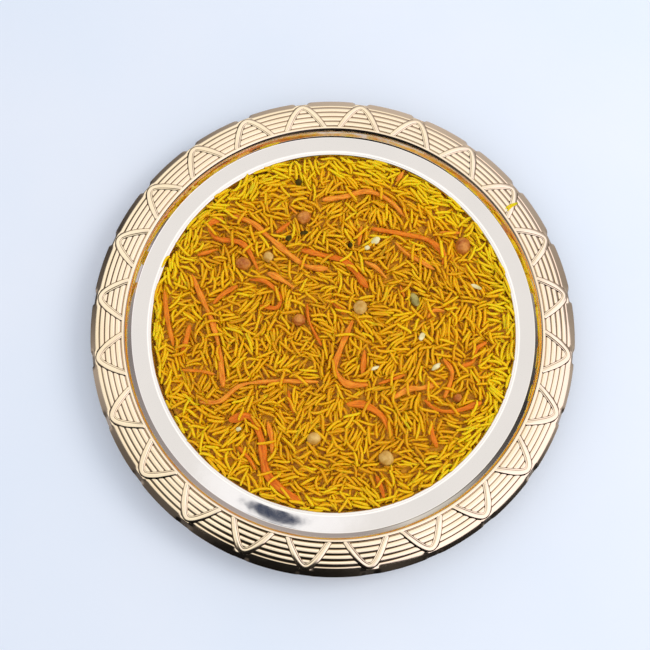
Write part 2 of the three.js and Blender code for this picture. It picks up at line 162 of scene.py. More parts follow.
GAP_COVER = 0.2 * MM  # less than this on the core is a gap

# Where the rice leaves a little of the wall bare or climbs onto the ledge: middle and half width
# in degrees, and how far from the axis a grain's end may lie.
REACHES = [
    (61, 9, 127.1 * MM), (92, 13, 127.1 * MM), (188, 14, 127.1 * MM),
    (157, 4, 130.5 * MM), (320, 4, 130.5 * MM),
]

# The core is a grid of rings; its lowest ones follow the fillet between wall and floor.
CORE_COLUMNS = 240
CORE_RINGS = 64
CORE_AXIS = 1 * MM  # radius of the core's innermost ring
CORE_FILLET_STEPS = 5
CORE_BUMPS = (260, 0.7 * MM)  # bumps for each metre, and their height

STRIP_THICKNESS = 2.2 * MM
STRIP_BASE = -0.1 * MM  # underside over the level of the rice
STRIP_STATION = 0.9 * MM
STRIP_TAPER = 6 * MM  # length of the narrowing at each end
STRIP_DIP = 0.7 * MM
STRIP_ROLL = 0.7
STRIP_END_WIDTH = 0.3  # share of its full width that a strip keeps at its ends
STRIP_WIDTHS = (0.74, 0.5)  # mean share of the stated width, and what the noise changes
STRIP_SWELL = 0.2  # what the noise changes of its thickness
STRIP_CORNERS = (0.75, 0.8)  # powers that square its section, across and up
STRIP_MIN_STATIONS = 4
CARROT_TONE_RANGE = (0.2, 0.9)
STRIP_NOISE = [(90, 0), (60, 4), (45, 9), (30, 14)]  # waves for each metre, and row of the noise
STRIP_SEED = 1.37  # distance between two strips in the noise

# Width, then the points that the middle line of a strip passes, in millimetres from above.
STRIPS = [
    [5, (-4, 42.5), (-20, 45), (-45, 65), (-58, 76.5), (-74, 82)],
    [5, (-79, 80), (-88.5, 75), (-84, 65.5), (-65, 61), (-53.5, 42)],
    [5.5, (-23, 56.5), (-8, 52.5), (8, 48), (24, 28.5)],
    [4, (22, 48), (30, 43.5), (37.5, 35.5)],
    [4.5, (-8, 94), (8, 96.5), (25, 100.5), (40, 94), (52, 81)],
    [5, (27, 72.5), (50, 68.5), (69, 63.5), (79, 52), (77.5, 46)],
    [3.5, (44, 62), (52, 54), (62, 48), (72, 42)],
    [4, (76, 69.5), (91, 69.5)],
    [4, (20, 74), (18, 60)],
    [4, (46, 108), (51, 115)],
    [4.5, (-100.5, 38), (-97, 30), (-85, 3), (-80, -17), (-77, -42)],
    [4, (-93, -52), (-80, -52), (-65, -41), (-43, -38), (-11, -38.5)],
    [3.5, (-60, 34.5), (-48.5, 33), (-38, 22), (-40, 14.5), (-52, 15.5)],
    [5, (-47, 39.5), (-42, 37.5), (-36, 34), (-28, 28.5)],
    [4, (-85, 17), (-79, 23.5), (-68, 30)],
    [4, (-119, 26), (-117, 8), (-112, -13)],
    [5, (-101, 2), (-103, -8), (-106.5, -20)],
    [3, (-106, -30), (-92, -31), (-83, -33)],
    [6, (-73, -65), (-59, -62.5), (-51, -76), (-46, -102), (-24, -121)],
    [4, (-46, -66), (-43.5, -78), (-43, -88)],
    [4, (-66, -83), (-58, -92), (-54, -99)],
    [3, (-32, -44.5), (-31, -52), (-28.5, -60)],
    [5.5, (13, 5), (4, -16), (0.5, -29), (8, -39.5), (23, -40.5)],
    [4, (21, -16), (19.5, -34)],
    [3, (30, -40), (38, -37.5), (49, -33.5)],
    [5.5, (40, -50), (52, -43.5), (60, -43), (72, -39.5)],
    [4.5, (62, -51), (70, -57.5), (82, -59), (102, -53)],
    [4, (76, -22), (82, -32), (76, -50)],
    [5, (107, -10.5), (100, -15), (97, -24), (88, -28)],
    [6, (8, -54), (20, -54.5), (32, -62), (39, -76)],
    [6, (66.5, -67), (67, -75), (70, -84)],
    [5.5, (28, -103), (31, -111), (33, -118)],
    [4, (66, 7), (70, 12), (78, 12)],
    [6, (-2, 20), (2, 16), (8, 10)],
    [3, (-19, 17), (-18, 6), (-9, -13)],
    [3, (-97, 52.5), (-82, 57)],
    [4, (-41, 69), (-31, 77)],
    [3, (-32, 89), (-26, 83)],
    [3, (47, 30), (50, 22)],
]

# Middle, length, width and height in millimetres, and the long side's turn in degrees.
ROUND_TOPPINGS = {
    "raisin_1": (-64.5, 46.5, 12, 9.5, 7.5, -6),
    "raisin_2": (-21, 81, 11, 9.5, 8, 30),
    "raisin_3": (93, 60, 13, 11, 8.5, 80),
    "raisin_4": (-24.5, 5.5, 9.5, 9, 7.5, 10),
    "raisin_5": (85.5, -49.5, 6.5, 5.5, 5, 40),
    "chickpea_1": (18.5, 14.5, 10.5, 9.8, 9, 60),
    "chickpea_2": (-14.5, -77.5, 10, 8.6, 8, 20),
    "chickpea_3": (35, -91, 11, 10, 9, -50),
    "chickpea_4": (-46.5, 51.5, 8, 7.5, 7, 80),
    "pistachio_1": (57, 20.5, 11, 6.5, 4.5, -62),
}

# For each kind: how close its folds are, and their depth as a share of its size.
TOPPING_FOLDS = {"raisin": (2.6, 0.16), "chickpea": (1.2, 0.05), "pistachio": (2.4, 0.14)}
TOPPING_LUMPS = (1.1, 0.07)  # closeness and height of the broad lumps
TOPPING_LIMITS = (0.6, 1)  # shares of the stated size between which the skin stays
TOPPING_GRID = (26, 40)
FOLD_SHARPNESS = 4
TOPPING_HEART = 0.55  # share of a topping's outline under which no grain lies
STRIP_CLEARANCE = 0.3 * MM  # of the grains below a strip, under the level of the rice

# Nut slivers and dark bits of skin: middle, length, width, turn in degrees and kind.
SLIVERS = [
    (30, 63.5, 7, 5, 30, "nut"),
    (24, 58, 4, 3.5, 0, "nut"),
    (101, 29.5, 8, 3, -25, "nut"),
    (61.5, -6.5, 7, 4, 60, "nut"),
    (28, -29, 7, 2.5, 20, "nut"),
    (-66, -71, 4, 3, 15, "nut"),
    (71, -28, 8, 3.5, 35, "nut"),
    (-25, 107, 5, 5, 0, "skin"),
    (-32, 65, 5, 4, 40, "skin"),
    (-21, 69, 6, 3, 10, "skin"),
    (12, 60, 4, 4, 0, "skin"),
]
SLIVER_HEIGHT = 2.4 * MM
SLIVER_LIFT = 1.6 * MM  # its middle over the level of the rice
SLIVER_TILT = 0.25
SLIVER_ROUGHNESS = (1.6, 0.22)  # closeness and height of its lumps
SLIVER_GRID = (8, 14)

# Two stray grains on the rim that meet at their outer ends: middle, turn in degrees and length.
STRAY_GRAINS = [(127.3, 87.7, 28.5, 10.3), (127.9, 86.8, 40.3, 10.3)]
STRAY_RADIUS = 0.85 * MM
STRAY_Z = 31.1 * MM
STRAY_TILT = -0.02

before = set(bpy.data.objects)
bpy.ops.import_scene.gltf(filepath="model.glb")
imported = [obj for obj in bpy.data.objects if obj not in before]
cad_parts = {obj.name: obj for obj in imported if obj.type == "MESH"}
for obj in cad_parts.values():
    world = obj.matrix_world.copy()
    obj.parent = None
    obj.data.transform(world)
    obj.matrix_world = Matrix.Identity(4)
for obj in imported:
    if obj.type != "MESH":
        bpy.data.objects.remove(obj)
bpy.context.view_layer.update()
rng = np.random.default_rng(7)


# ---- meshes -------------------------------------------------------------------------------------

def mesh_piece(name, points, face_sets, material):
    """A smooth mesh object from points and arrays of faces, one array for each face size."""
    mesh = bpy.data.meshes.new(name)
    points = np.asarray(points, dtype=np.float32).reshape(-1, 3)
    corners = np.concatenate([faces.ravel() for faces in face_sets]).astype(np.int32)
    sizes = np.concatenate([np.full(len(faces), faces.shape[1]) for faces in face_sets])
    starts = np.concatenate([[0], np.cumsum(sizes)[:-1]]).astype(np.int32)
    mesh.vertices.add(len(points))
    mesh.vertices.foreach_set("co", points.ravel())
    mesh.loops.add(len(corners))
    mesh.loops.foreach_set("vertex_index", corners)
    mesh.polygons.add(len(sizes))
    mesh.polygons.foreach_set("loop_start", starts)
    mesh.update(calc_edges=True)
    mesh.polygons.foreach_set("use_smooth", np.full(len(sizes), True))
    mesh.materials.append(material)
    piece = bpy.data.objects.new(name, mesh)
    bpy.context.scene.collection.objects.link(piece)
    return piece


def keep_values(piece, name, values):
    """Stores a number or a vector for each point of a mesh, for its material to read."""
    kind, field = ("FLOAT_VECTOR", "vector") if values.ndim > 1 else ("FLOAT", "value")
    layer = piece.data.attributes.new(name, kind, "POINT")
    layer.data.foreach_set(field, values.astype(np.float32).ravel())


def grid_faces(rows, columns, rows_close=False):
    """Quads of points stored row by row; each row is a closed ring."""
    last = rows if rows_close else rows - 1
    row = np.arange(last)[:, None]
    column = np.arange(columns)[None, :]
    after = (column + 1) % columns
    above = (row + 1) % rows
    quads = np.stack([
        row * columns + column,
        row * columns + after,
        above * columns + after,
        above * columns + column,
    ], axis=-1)
    return quads.reshape(-1, 4)


def end_faces(rows, columns):
    """The first and the last ring of such a grid, each as one face."""
    ring = np.arange(columns)
    return np.array([ring[::-1], (rows - 1) * columns + ring])


def pole_faces(pole, ring, columns):
    """Triangles from a pole to the ring of points that starts at an index."""
    here = np.arange(columns)
    after = (here + 1) % columns
    return np.stack([np.full(columns, pole), ring + after, ring + here], axis=-1)


def full_turn(steps):
    return np.arange(steps) * 2 * math.pi / steps


def columns_of(profile):
    """Distances from the axis and heights of a profile's points, each as a column."""
    radii, heights = np.array(profile).T[:, :, None]
    return radii, heights


def ring_points(angles, radii, heights):
    """Points of rings, one row for each radius. Radii and heights may vary along a ring."""
    radii = np.broadcast_to(radii, (len(radii), len(angles)))
    heights = np.broadcast_to(heights, radii.shape)
    return np.stack([radii * np.cos(angles), radii * np.sin(angles), heights], axis=-1)


def arc(centre_r, centre_z, radius_r, radius_z, from_degrees, to_degrees, steps):
    angles = np.radians(np.linspace(from_degrees, to_degrees, steps + 1))
    return [
        (centre_r + radius_r * math.cos(angle), centre_z + radius_z * math.sin(angle))
        for angle in angles
    ]


def smooth_step(low, high, value):
    share = np.clip((value - low) / (high - low), 0, 1)
    return share * share * (3 - 2 * share)


def turn_from(angles, middle, period=2 * math.pi):
    """How far angles are from a middle one, or from the nearest of those that lie a period apart."""
    return np.abs((angles - middle + period / 2) % period - period / 2)


def finish_piece(piece, nodes):
    """Rides on the part's one body and stands for the nodes, which it hides."""
    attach(piece, "root")
    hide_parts(*nodes)


# ---- shader nodes -------------------------------------------------------------------------------

def set_inputs(tree, node, inputs):
    """Links each input to another node's output, or sets it to a number, colour or vector."""
    for name, value in inputs.items():
        socket = node.inputs[name]
        if isinstance(value, bpy.types.NodeSocket):
            tree.links.new(value, socket)
        elif socket.type == "RGBA":
            socket.default_value = (*value, 1)
        else:
            socket.default_value = value


def add_node(tree, kind, inputs=None, **settings):
    node = tree.nodes.new(f"ShaderNode{kind}")
    for name, value in settings.items():
        setattr(node, name, value)
    set_inputs(tree, node, inputs or {})
    return node


def point_value(tree, name, output="Fac"):
    """What keep_values stored under a name."""
    return add_node(tree, "Attribute", attribute_name=name).outputs[output]


def noise_texture(tree, scale, detail=3, stretch=(1, 1, 1), place=None):
    """Noise over the object's own coordinates in metres, or over other coordinates."""
    place = place or add_node(tree, "TexCoord").outputs["Object"]
    mapping = add_node(tree, "Mapping", {"Vector": place, "Scale": stretch})
    inputs = {"Vector": mapping.outputs["Vector"], "Scale": scale, "Detail": detail}
    return add_node(tree, "TexNoise", inputs).outputs["Fac"]


def colour_ramp(tree, factor, stops):
    """Colours along a factor; stops are (position, colour)."""
    ramp = add_node(tree, "ValToRGB", {"Fac": factor})
    elements = ramp.color_ramp.elements
    while len(elements) < len(stops):
        elements.new(0.5)
    for element, (position, colour) in zip(elements, stops):
        element.position = position
        element.color = (*colour, 1)
    return ramp.outputs["Color"]


def mix_colours(tree, factor, first, second, blend="MIX"):
    inputs = {"Factor": factor, "A": first, "B": second}
    return add_node(tree, "Mix", inputs, data_type="RGBA", blend_type=blend).outputs["Result"]


def map_range(tree, value, from_range, to_range, interpolation="LINEAR"):
    names = ("From Min", "From Max", "To Min", "To Max")
    inputs = dict(zip(names, (*from_range, *to_range)), Value=value)
    return add_node(tree, "MapRange", inputs, interpolation_type=interpolation).outputs["Result"]


def fade(tree, value, low, high):
    """0 below low and 1 above high; turned round where low is above high."""
    ends = ((low, high), (0, 1)) if low < high else ((high, low), (1, 0))
    return map_range(tree, value, *ends, "SMOOTHSTEP")


def operate(tree, operation, first, second=0):
    return add_node(tree, "Math", {0: first, 1: second}, operation=operation).outputs[0]


def towards(tree, direction, azimuth, elevation):
    """Cosine of the angle between a direction and a fixed one, which is given in degrees."""
    turn = math.radians(azimuth)
    rise = math.radians(elevation)
    fixed = (math.cos(turn) * math.cos(rise), math.sin(turn) * math.cos(rise), math.sin(rise))
    inputs = {0: direction, 1: fixed}
    return add_node(tree, "VectorMath", inputs, operation="DOT_PRODUCT").outputs["Value"]


# ---- materials ----------------------------------------------------------------------------------

WHITE = (1, 1, 1)
BLACK = (0, 0, 0)
# Tints of the grains from dark orange to yellow. Covered grains get the dark end as painted shade, and the
# edge's lit side gets the light end as painted light.
RICE_TONES = [
    (0, (0.72, 0.33, 0.001)), (0.35, (0.88, 0.44, 0.001)), (0.65, (0.98, 0.53, 0.001)),
    (1, (1, 0.66, 0.003)),
]
RICE_STAIN = [(0.35, (0.87, 0.82, 0.60)), (0.6, WHITE)]
# The core is coloured darker and more orange than the grains: painted shade for the depths that show between
# them.
CORE_SHADE_TONES = [(0.3, (0.40, 0.13, 0.001)), (0.7, (0.86, 0.42, 0.002))]
CARROT_TONES = [(0, (0.78, 0.18, 0.006)), (0.5, (0.89, 0.26, 0.012)), (1, (0.97, 0.37, 0.03))]
CARROT_STREAKS = [(0.35, (0.66, 0.50, 0.4)), (0.5, (0.92, 0.88, 0.8)), (0.65, (1.08, 1.2, 1.5))]
FLOOR_TONES = [(0.3, (0.78, 0.845, 0.925)), (0.7, (0.83, 0.87, 0.93))]


def set_shader(material, inputs):
    tree = material.node_tree
    set_inputs(tree, tree.nodes["Principled BSDF"], inputs)


def plain_material(name, colour, roughness):
    material = bpy.data.materials.new(name)
    material.use_nodes = True
    set_shader(material, {"Base Color": colour, "Roughness": roughness})
    return material


def add_bump(material, height, distance, strength=1):
    inputs = {"Height": height, "Distance": distance, "Strength": strength}
    bump = add_node(material.node_tree, "Bump", inputs)
    set_shader(material, {"Normal": bump.outputs["Normal"]})


def soften(material, weight, radius, scale, shine):
    """Lets light travel inside the material, less far in green and blue; shine is its gloss."""
    set_shader(material, {
        "Subsurface Weight": weight, "Subsurface Radius": radius, "Subsurface Scale": scale,
        "Specular IOR Level": shine,
    })


def metal_material(name, colour, tarnish, roughness, groove_shade=None):
    """Polished metal with faint clouding, handling marks, a soft unevenness and painted shade in grooves."""
    material = plain_material(name, colour, roughness)
    tree = material.node_tree
    clouds = noise_texture(tree, scale=28, detail=4)
    tint = colour_ramp(tree, clouds, [(0.35, tarnish), (0.6, colour)])
    if groove_shade:
        # Painted shade in the grooves and on the ribbons' steep sides.
        shade = colour_ramp(tree, point_value(tree, "painted_recess_shade"), [(0.1, WHITE), (0.9, groove_shade)])
        tint = mix_colours(tree, 1, tint, shade, "MULTIPLY")
    smears = noise_texture(tree, scale=160, detail=5, stretch=(1, 1.6, 1))
    uneven = map_range(tree, smears, (0.3, 0.75), (roughness * 0.75, roughness * 1.5))
    set_shader(material, {"Base Color": tint, "Metallic": 1, "Roughness": uneven})
    add_bump(material, noise_texture(tree, scale=60, detail=2), distance=0.05 * MM)
    return material


def rice_material():
    material = plain_material("rice_grain", (0.68, 0.41, 0.006), roughness=0.42)
    tree = material.node_tree
    tone = colour_ramp(tree, point_value(tree, "tone"), RICE_TONES)
    stain = colour_ramp(tree, noise_texture(tree, scale=42), RICE_STAIN)
    set_shader(material, {"Base Color": mix_colours(tree, 0.8, tone, stain, "MULTIPLY")})
    add_bump(material, noise_texture(tree, scale=1500), distance=0.1 * MM, strength=0.5)
    soften(material, weight=0.6, radius=(1, 0.5, 0.05), scale=1.6 * MM, shine=0.25)
    return material


def core_material():
    material = plain_material("rice_core", (0.8, 0.34, 0.003), roughness=0.6)
    # Its patches are painted shade, darker than any grain.
    patches = noise_texture(material.node_tree, scale=400, detail=4)
    set_shader(material, {"Base Color": colour_ramp(material.node_tree, patches, CORE_SHADE_TONES)})
    add_bump(material, patches, distance=1.5 * MM)
    return material


def carrot_material():
    material = plain_material("carrot", (0.95, 0.22, 0.01), roughness=0.45)
    tree = material.node_tree
    tone = colour_ramp(tree, point_value(tree, "tone"), CARROT_TONES)
    along = point_value(tree, "fibre", "Vector")
    fibres = noise_texture(tree, scale=1.5, detail=4, place=along)
    streaks = colour_ramp(tree, fibres, CARROT_STREAKS)
    set_shader(material, {"Base Color": mix_colours(tree, 0.85, tone, streaks, "MULTIPLY")})
    add_bump(material, fibres, distance=0.5 * MM, strength=0.9)
    soften(material, weight=0.4, radius=(1, 0.35, 0.05), scale=1.5 * MM, shine=0.2)
    return material


def topping_material(name, dark, light, roughness, wrinkle, shine=0.5):
    """Skin of a raisin, chickpea or nut: blotches of two tones over fine wrinkles."""
    material = plain_material(name, light, roughness)
    tree = material.node_tree
    blotches = noise_texture(tree, scale=170, detail=4)
    tint = colour_ramp(tree, blotches, [(0.35, dark), (0.62, light)])
    set_shader(material, {"Base Color": tint, "Specular IOR Level": shine})
    add_bump(material, noise_texture(tree, scale=420, detail=4), wrinkle)
    return material


# ---- dish ---------------------------------------------------------------------------------------

def band_z(radius):
    along = (radius - BAND_INNER) / (BAND_OUTER - BAND_INNER)
    return BAND_TOP_Z - BAND_DROP * along * along


def arch_radius(turn):
    """Distance from the axis of an arch's middle line, at an angle from the arch's own middle."""
    rounded = np.hypot(turn, ARCH_ROUNDING) - ARCH_ROUNDING
    full = math.hypot(ARCH_HALF_WIDTH, ARCH_ROUNDING) - ARCH_ROUNDING
    return ARCH_APEX - (ARCH_APEX - ARCH_FOOT) * (rounded / full)


def ridge_rows():
    """Distances from the axis and rises of the ridged band, from its inner edge outwards."""
    rows = []
    for ridge in range(RIDGES):
        first = BAND_INNER + ridge * RIDGE_PITCH
        rows += [(first + away, rise) for away, rise in RIDGE_SECTION[:-1]]
        rows += [(first + RIDGE_PITCH - away, rise) for away, rise in RIDGE_SECTION[:0:-1]]
    return rows


def facet_rows(radius, height, facets):
    """Distances from the axis and heights of the ends of facets that fall from a point."""
    rows = [(radius, height)]
    for end, slope in facets:
        height -= abs(end - radius) * math.tan(math.radians(slope))
        radius = end
        rows.append((radius, height))
    return rows


def lip_rows(facets):
    """The lip, from where it starts outwards."""
    return facet_rows(LIP_FROM, band_z(LIP_FROM), facets)


def scallop(radii, angles):
    """Height of the lip near each arch over its height between two arches."""
    near = 1 - smooth_step(*SCALLOP_HALF, turn_from(angles, ARCH_FIRST, 2 * math.pi / ARCHES))
    plain, raised = (np.array(lip_rows(facets)).T for facets in (LIP_FACETS, SCALLOP_FACETS))
    return near * (np.interp(radii, *raised) - np.interp(radii, *plain))


def step_rows():
    """The step, from the bead's crest inwards."""
    return facet_rows(BEAD_AT, BEAD_CREST_Z, STEP_FACETS)


def up_step(row, away):
    """A point of the step a little outwards of another, on the same slope."""
    return row[0] + away, row[1] + away * math.tan(STEP_SLOPE)


def gold_rim(material):
    """Upper step, bead, ridged band, rounded lip and skirt, as one closed ring of sheet metal."""
    seam, *upper_step = [row for row in step_rows() if row[0] >= SEAM_AT][::-1]
    bead = [(seam[0] + SEAM_TUCK[0], seam[1] - SEAM_TUCK[1]), seam, up_step(seam, SEAM_TURN)]
    bead += upper_step
    bead += arc(BEAD_AT, BEAD_CREST_Z - BEAD_HALF[1], *BEAD_HALF, *BEAD_TURN)
    ridges = ridge_rows()
    groove = BAND_INNER + RIDGES * RIDGE_PITCH
    band = [(radius, band_z(radius) + rise) for radius, rise in ridges]
    band += [(groove, band_z(groove) + RIDGE_SECTION[0][1])]
    lip = lip_rows(LIP_FACETS)
    lip_r, lip_z = lip[-1]
    skirt_radius = DISH_RADIUS - SKIRT_TAPER
    under = [
        (skirt_radius, SKIRT_Z + SKIRT_BEVEL[1]),
        (skirt_radius - SKIRT_BEVEL[0], SKIRT_Z),
        (skirt_radius - SHEET, SKIRT_Z + SKIRT_BEVEL[2]),
        (lip_r - SHEET, lip_z),
        LIP_BACK,
        (BAND_BACK, band_z(BAND_BACK) - SHEET),
        (BEAD_AT + BEAD_BACK, BAND_TOP_Z - SHEET),
    ]
    profile = bead + band + lip + under
    radii, heights = columns_of(profile)
    angles = full_turn(RIM_STEPS)
    swell = scallop(radii, angles[None, :])
    swell[-len(under):] = 0
    points = ring_points(angles, radii, heights + swell)
    faces = grid_faces(len(profile), RIM_STEPS, rows_close=True)[:, ::-1]
    piece = mesh_piece("gold_rim", points, [faces], material)
    # Painted shade in the grooves, darkest at their bottom.
    rises = np.array([rise for _, rise in ridges])
    depth = np.zeros(len(profile))
    first = len(bead)
    last = first + len(ridges)
    depth[first:last] = np.clip((RECESS_UNSHADED - rises) / (RECESS_UNSHADED - RECESS_DARKEST), 0, 1)
    depth[last] = 1
    keep_values(piece, "painted_recess_shade", np.repeat(depth, RIM_STEPS))
    finish_piece(piece, ["dish"])


# Section of a ribbon from the arch's inside outwards: place across, height over the plain band
# and painted shade, dark on its steep sides. A small border with a shaded groove runs along its inner edge.
RIBBON_SECTION = [
    (-3 * MM, -0.7 * MM, 1), (-2.75 * MM, -0.08 * MM, 1), (-2.4 * MM, 0.22 * MM, 1),
    (-2.14 * MM, 0.5 * MM, 0.5), (-1.88 * MM, 0.66 * MM, 0), (-1.5 * MM, 0.64 * MM, 0.2),
    (-1.3 * MM, 0.5 * MM, 0.9), (-1.12 * MM, 0.68 * MM, 0.3), (-0.85 * MM, 0.86 * MM, 0),
    (-0.3 * MM, 0.94 * MM, 0), (0.4 * MM, 0.96 * MM, 0), (1.05 * MM, 0.92 * MM, 0),
    (1.75 * MM, 0.8 * MM, 0), (2 * MM, 0.57 * MM, 0.6), (2.3 * MM, 0.25 * MM, 1),
    (2.7 * MM, -0.05 * MM, 1), (2.95 * MM, -0.7 * MM, 1),
]
RIBBON_STATIONS = 56
RIBBON_WIDTHS = ([0, 0.45, 1], [0.85, 1.05, 0.95])  # shares of the way to the apex and of its width
RIBBON_FALL = 0.25  # slope of a ribbon past the band's outer end
TURN_STEP = 1e-4  # for the slope of the arch's middle line


def rim_ribbons(material):
    """Flat ribbons with steep sides, each bent into an arch on the gold band."""
    stations = np.linspace(-1, 1, RIBBON_STATIONS)
    turn = stations * ARCH_HALF_WIDTH
    radius = arch_radius(turn)
    along_r = (arch_radius(turn + TURN_STEP) - arch_radius(turn - TURN_STEP)) / (2 * TURN_STEP)
    length = np.hypot(along_r, radius)
    out_r = radius / length
    out_turn = -along_r / length
    across, rise, groove_shade = np.array(RIBBON_SECTION).T
    across = np.interp(1 - np.abs(stations), *RIBBON_WIDTHS)[:, None] * across
    ring_r = radius[:, None] + across * out_r[:, None]
    ring_turn = turn[:, None] + across * out_turn[:, None] / radius[:, None]
    over = np.maximum(0, ring_r - BAND_OUTER)
    ring_z = band_z(np.minimum(ring_r, BAND_OUTER)) - RIBBON_FALL * over + rise
    sides = len(RIBBON_SECTION)
    points = []
    faces = []
    caps = []
    for arch in range(ARCHES):
        angle = ARCH_FIRST + arch * 2 * math.pi / ARCHES + ring_turn
        first = arch * RIBBON_STATIONS * sides
        points.append(np.stack([ring_r * np.cos(angle), ring_r * np.sin(angle), ring_z], axis=-1))
        faces.append(grid_faces(RIBBON_STATIONS, sides)[:, ::-1] + first)
        caps.append(end_faces(RIBBON_STATIONS, sides)[:, ::-1] + first)
    face_sets = [np.concatenate(faces), np.concatenate(caps)]
    piece = mesh_piece("rim_ribbons", points, face_sets, material)
    keep_values(piece, "painted_recess_shade", np.tile(groove_shade, ARCHES * RIBBON_STATIONS))
    finish_piece(piece, ["dish"])


def silver_basin(material):
    """Step, flat ledge, wall and floor, as one closed shell of sheet metal."""
    floor_z = SHEET + FLOOR_FILLET
    wall_end = math.degrees(WALL_SLOPE) - 90
    under_rise = LEDGE_Z - SHEET - floor_z
    under_corner = FLOOR_FILLET_AT + (FLOOR_FILLET + SHEET) / math.sin(WALL_SLOPE)
    under_corner += under_rise / math.tan(WALL_SLOPE)
    thick = SHEET + FLOOR_FILLET
    seam, *lower_step = [row for row in step_rows() if row[0] <= SEAM_AT]
    low_r, low_z = lower_step[-1]
    ledge_outer = low_r - (low_z - LEDGE_Z) / math.tan(STEP_SLOPE) - STEP_FOOT * math.tan(STEP_SLOPE / 2)
    profile = [(HUB, 0), (FLOOR_RING, 0)]
    profile += arc(FLOOR_FILLET_AT, floor_z, thick, thick, -90, wall_end, FILLET_STEPS)
    profile += [(under_corner, LEDGE_Z - SHEET)]
    profile += [(ledge_outer + STEP_BACK_FOOT, LEDGE_Z - SHEET)]
    profile += [(seam[0] + STEP_BACK_TOP[0], seam[1] - STEP_BACK_TOP[1])]
    profile += [seam, up_step(seam, -SEAM_TURN)] + lower_step
    climb = math.degrees(STEP_SLOPE)
    profile += arc(ledge_outer, LEDGE_Z + STEP_FOOT, STEP_FOOT, STEP_FOOT, climb - 90, -90, FOOT_STEPS)
    for share in LEDGE_RINGS:
        dome = LEDGE_CROWN * (1 - (2 * share - 1) ** 2)
        profile += [(ledge_outer + (LEDGE_EDGE_FROM - ledge_outer) * share, LEDGE_Z + dome)]
    profile += facet_rows(LEDGE_EDGE_FROM, LEDGE_Z, LEDGE_EDGE_FACETS)[1:]
    edge_r, edge_z = profile[-1]
    tilt = math.radians(90 - LEDGE_EDGE_FACETS[-1][1])
    bend = (edge_r - LEDGE_BEND * math.cos(tilt), edge_z - LEDGE_BEND * math.sin(tilt))
    bend_start = math.degrees(tilt) + LEDGE_BEND_START
    profile += arc(*bend, LEDGE_BEND, LEDGE_BEND, bend_start, wall_end + 180, LEDGE_BEND_STEPS)
    profile += arc(FLOOR_FILLET_AT, floor_z, FLOOR_FILLET, FLOOR_FILLET, wall_end, -90, FILLET_STEPS)
    profile += [(FLOOR_RING, SHEET), (HUB, SHEET)]
    points = ring_points(full_turn(TURN_STEPS), *columns_of(profile))
    face_sets = [grid_faces(len(profile), TURN_STEPS), end_faces(len(profile), TURN_STEPS)]
    piece = mesh_piece("silver_basin", points, face_sets, material)
    finish_piece(piece, ["dish"])


# ---- heap of rice -------------------------------------------------------------------------------

def rice_z(x, y):
    distance = np.hypot(x, y)
    out = np.minimum(1, distance / LEDGE_INNER)
    return RICE_EDGE_Z + RICE_CROWN * (1 - out * out) + BRIM_RISE * smooth_step(BRIM_FROM, BRIM_TO, distance)


def wall_radius(z):
    """Distance of the basin's wall from the axis."""
    wall_end = WALL_SLOPE - math.pi / 2
    foot_r = FLOOR_FILLET_AT + FLOOR_FILLET * math.cos(wall_end)
    foot_z = SHEET + FLOOR_FILLET + FLOOR_FILLET * math.sin(wall_end)
    return foot_r + (z - foot_z) / math.tan(WALL_SLOPE)


def rice_core(material):
    """What lies under the visible grains: a closed block that fills the basin."""
    angles = full_turn(CORE_COLUMNS)
    whole_ring = np.ones((1, CORE_COLUMNS))
    edge = wall_radius(RICE_EDGE_Z - CORE_DEPTH) - GAP
    radii = np.linspace(CORE_AXIS, edge, CORE_RINGS)[:, None] * whole_ring
    x = radii * np.cos(angles)
    y = radii * np.sin(angles)
    pitch, bump_height = CORE_BUMPS
    bumps = np.array([noise.noise(Vector((a, b, 0)) * pitch) for a, b in zip(x.ravel(), y.ravel())])
    heights = rice_z(x, y) - CORE_DEPTH + bump_height * bumps.reshape(x.shape)
    inner = FLOOR_FILLET - GAP
    wall_end = math.degrees(WALL_SLOPE) - 90
    side = arc(FLOOR_FILLET_AT, SHEET + FLOOR_FILLET, inner, inner, wall_end, -90, CORE_FILLET_STEPS)
    side_radii, side_heights = columns_of(side + [(CORE_AXIS, SHEET + GAP)])
    points = ring_points(
        angles,
        np.concatenate([radii, side_radii * whole_ring]),
        np.concatenate([heights, side_heights * whole_ring]),
    )
    rows = CORE_RINGS + len(side_radii)
    faces = grid_faces(rows, CORE_COLUMNS)[:, ::-1]
    caps = end_faces(rows, CORE_COLUMNS)[:, ::-1]
    piece = mesh_piece("rice_core", points, [faces, caps], material)
    finish_piece(piece, ["rice"])


MAP_SIDE = int(round(2 * MAP_HALF / CELL)) + 1
SPREAD = np.linspace(-1, 1, 11)  # places along a grain where its support is looked up
PAIRS = [(i, j) for i in range(5) for j in range(6, 11)]  # one on each side of its middle
STEEPEST = 0.45
RESTED_END = 0.5  # share of its radius that a grain reaches past the last of these places
SITE_SCATTER = 1.5 * MM
WALL_REACH = 2 * MM  # past RICE_RADIUS, for the random places
FLOW_NOISE = [(0.3, 16, 1), (1.7, 45, 0.5)]  # height in the noise, waves for each metre and weight
ACROSS = np.array([-0.8, -0.4, 0, 0.4, 0.8])  # places across a grain that go into the map
GRAIN_TOP = 0.8  # height of a grain's ridge in the map, as a share of its radius
MAP_STEP = 0.45 * MM
MAP_PAST_END = 0.2 * MM


def cell_of(value):
    return np.clip(((value + MAP_HALF) / CELL + 0.5).astype(int), 0, MAP_SIDE - 1)


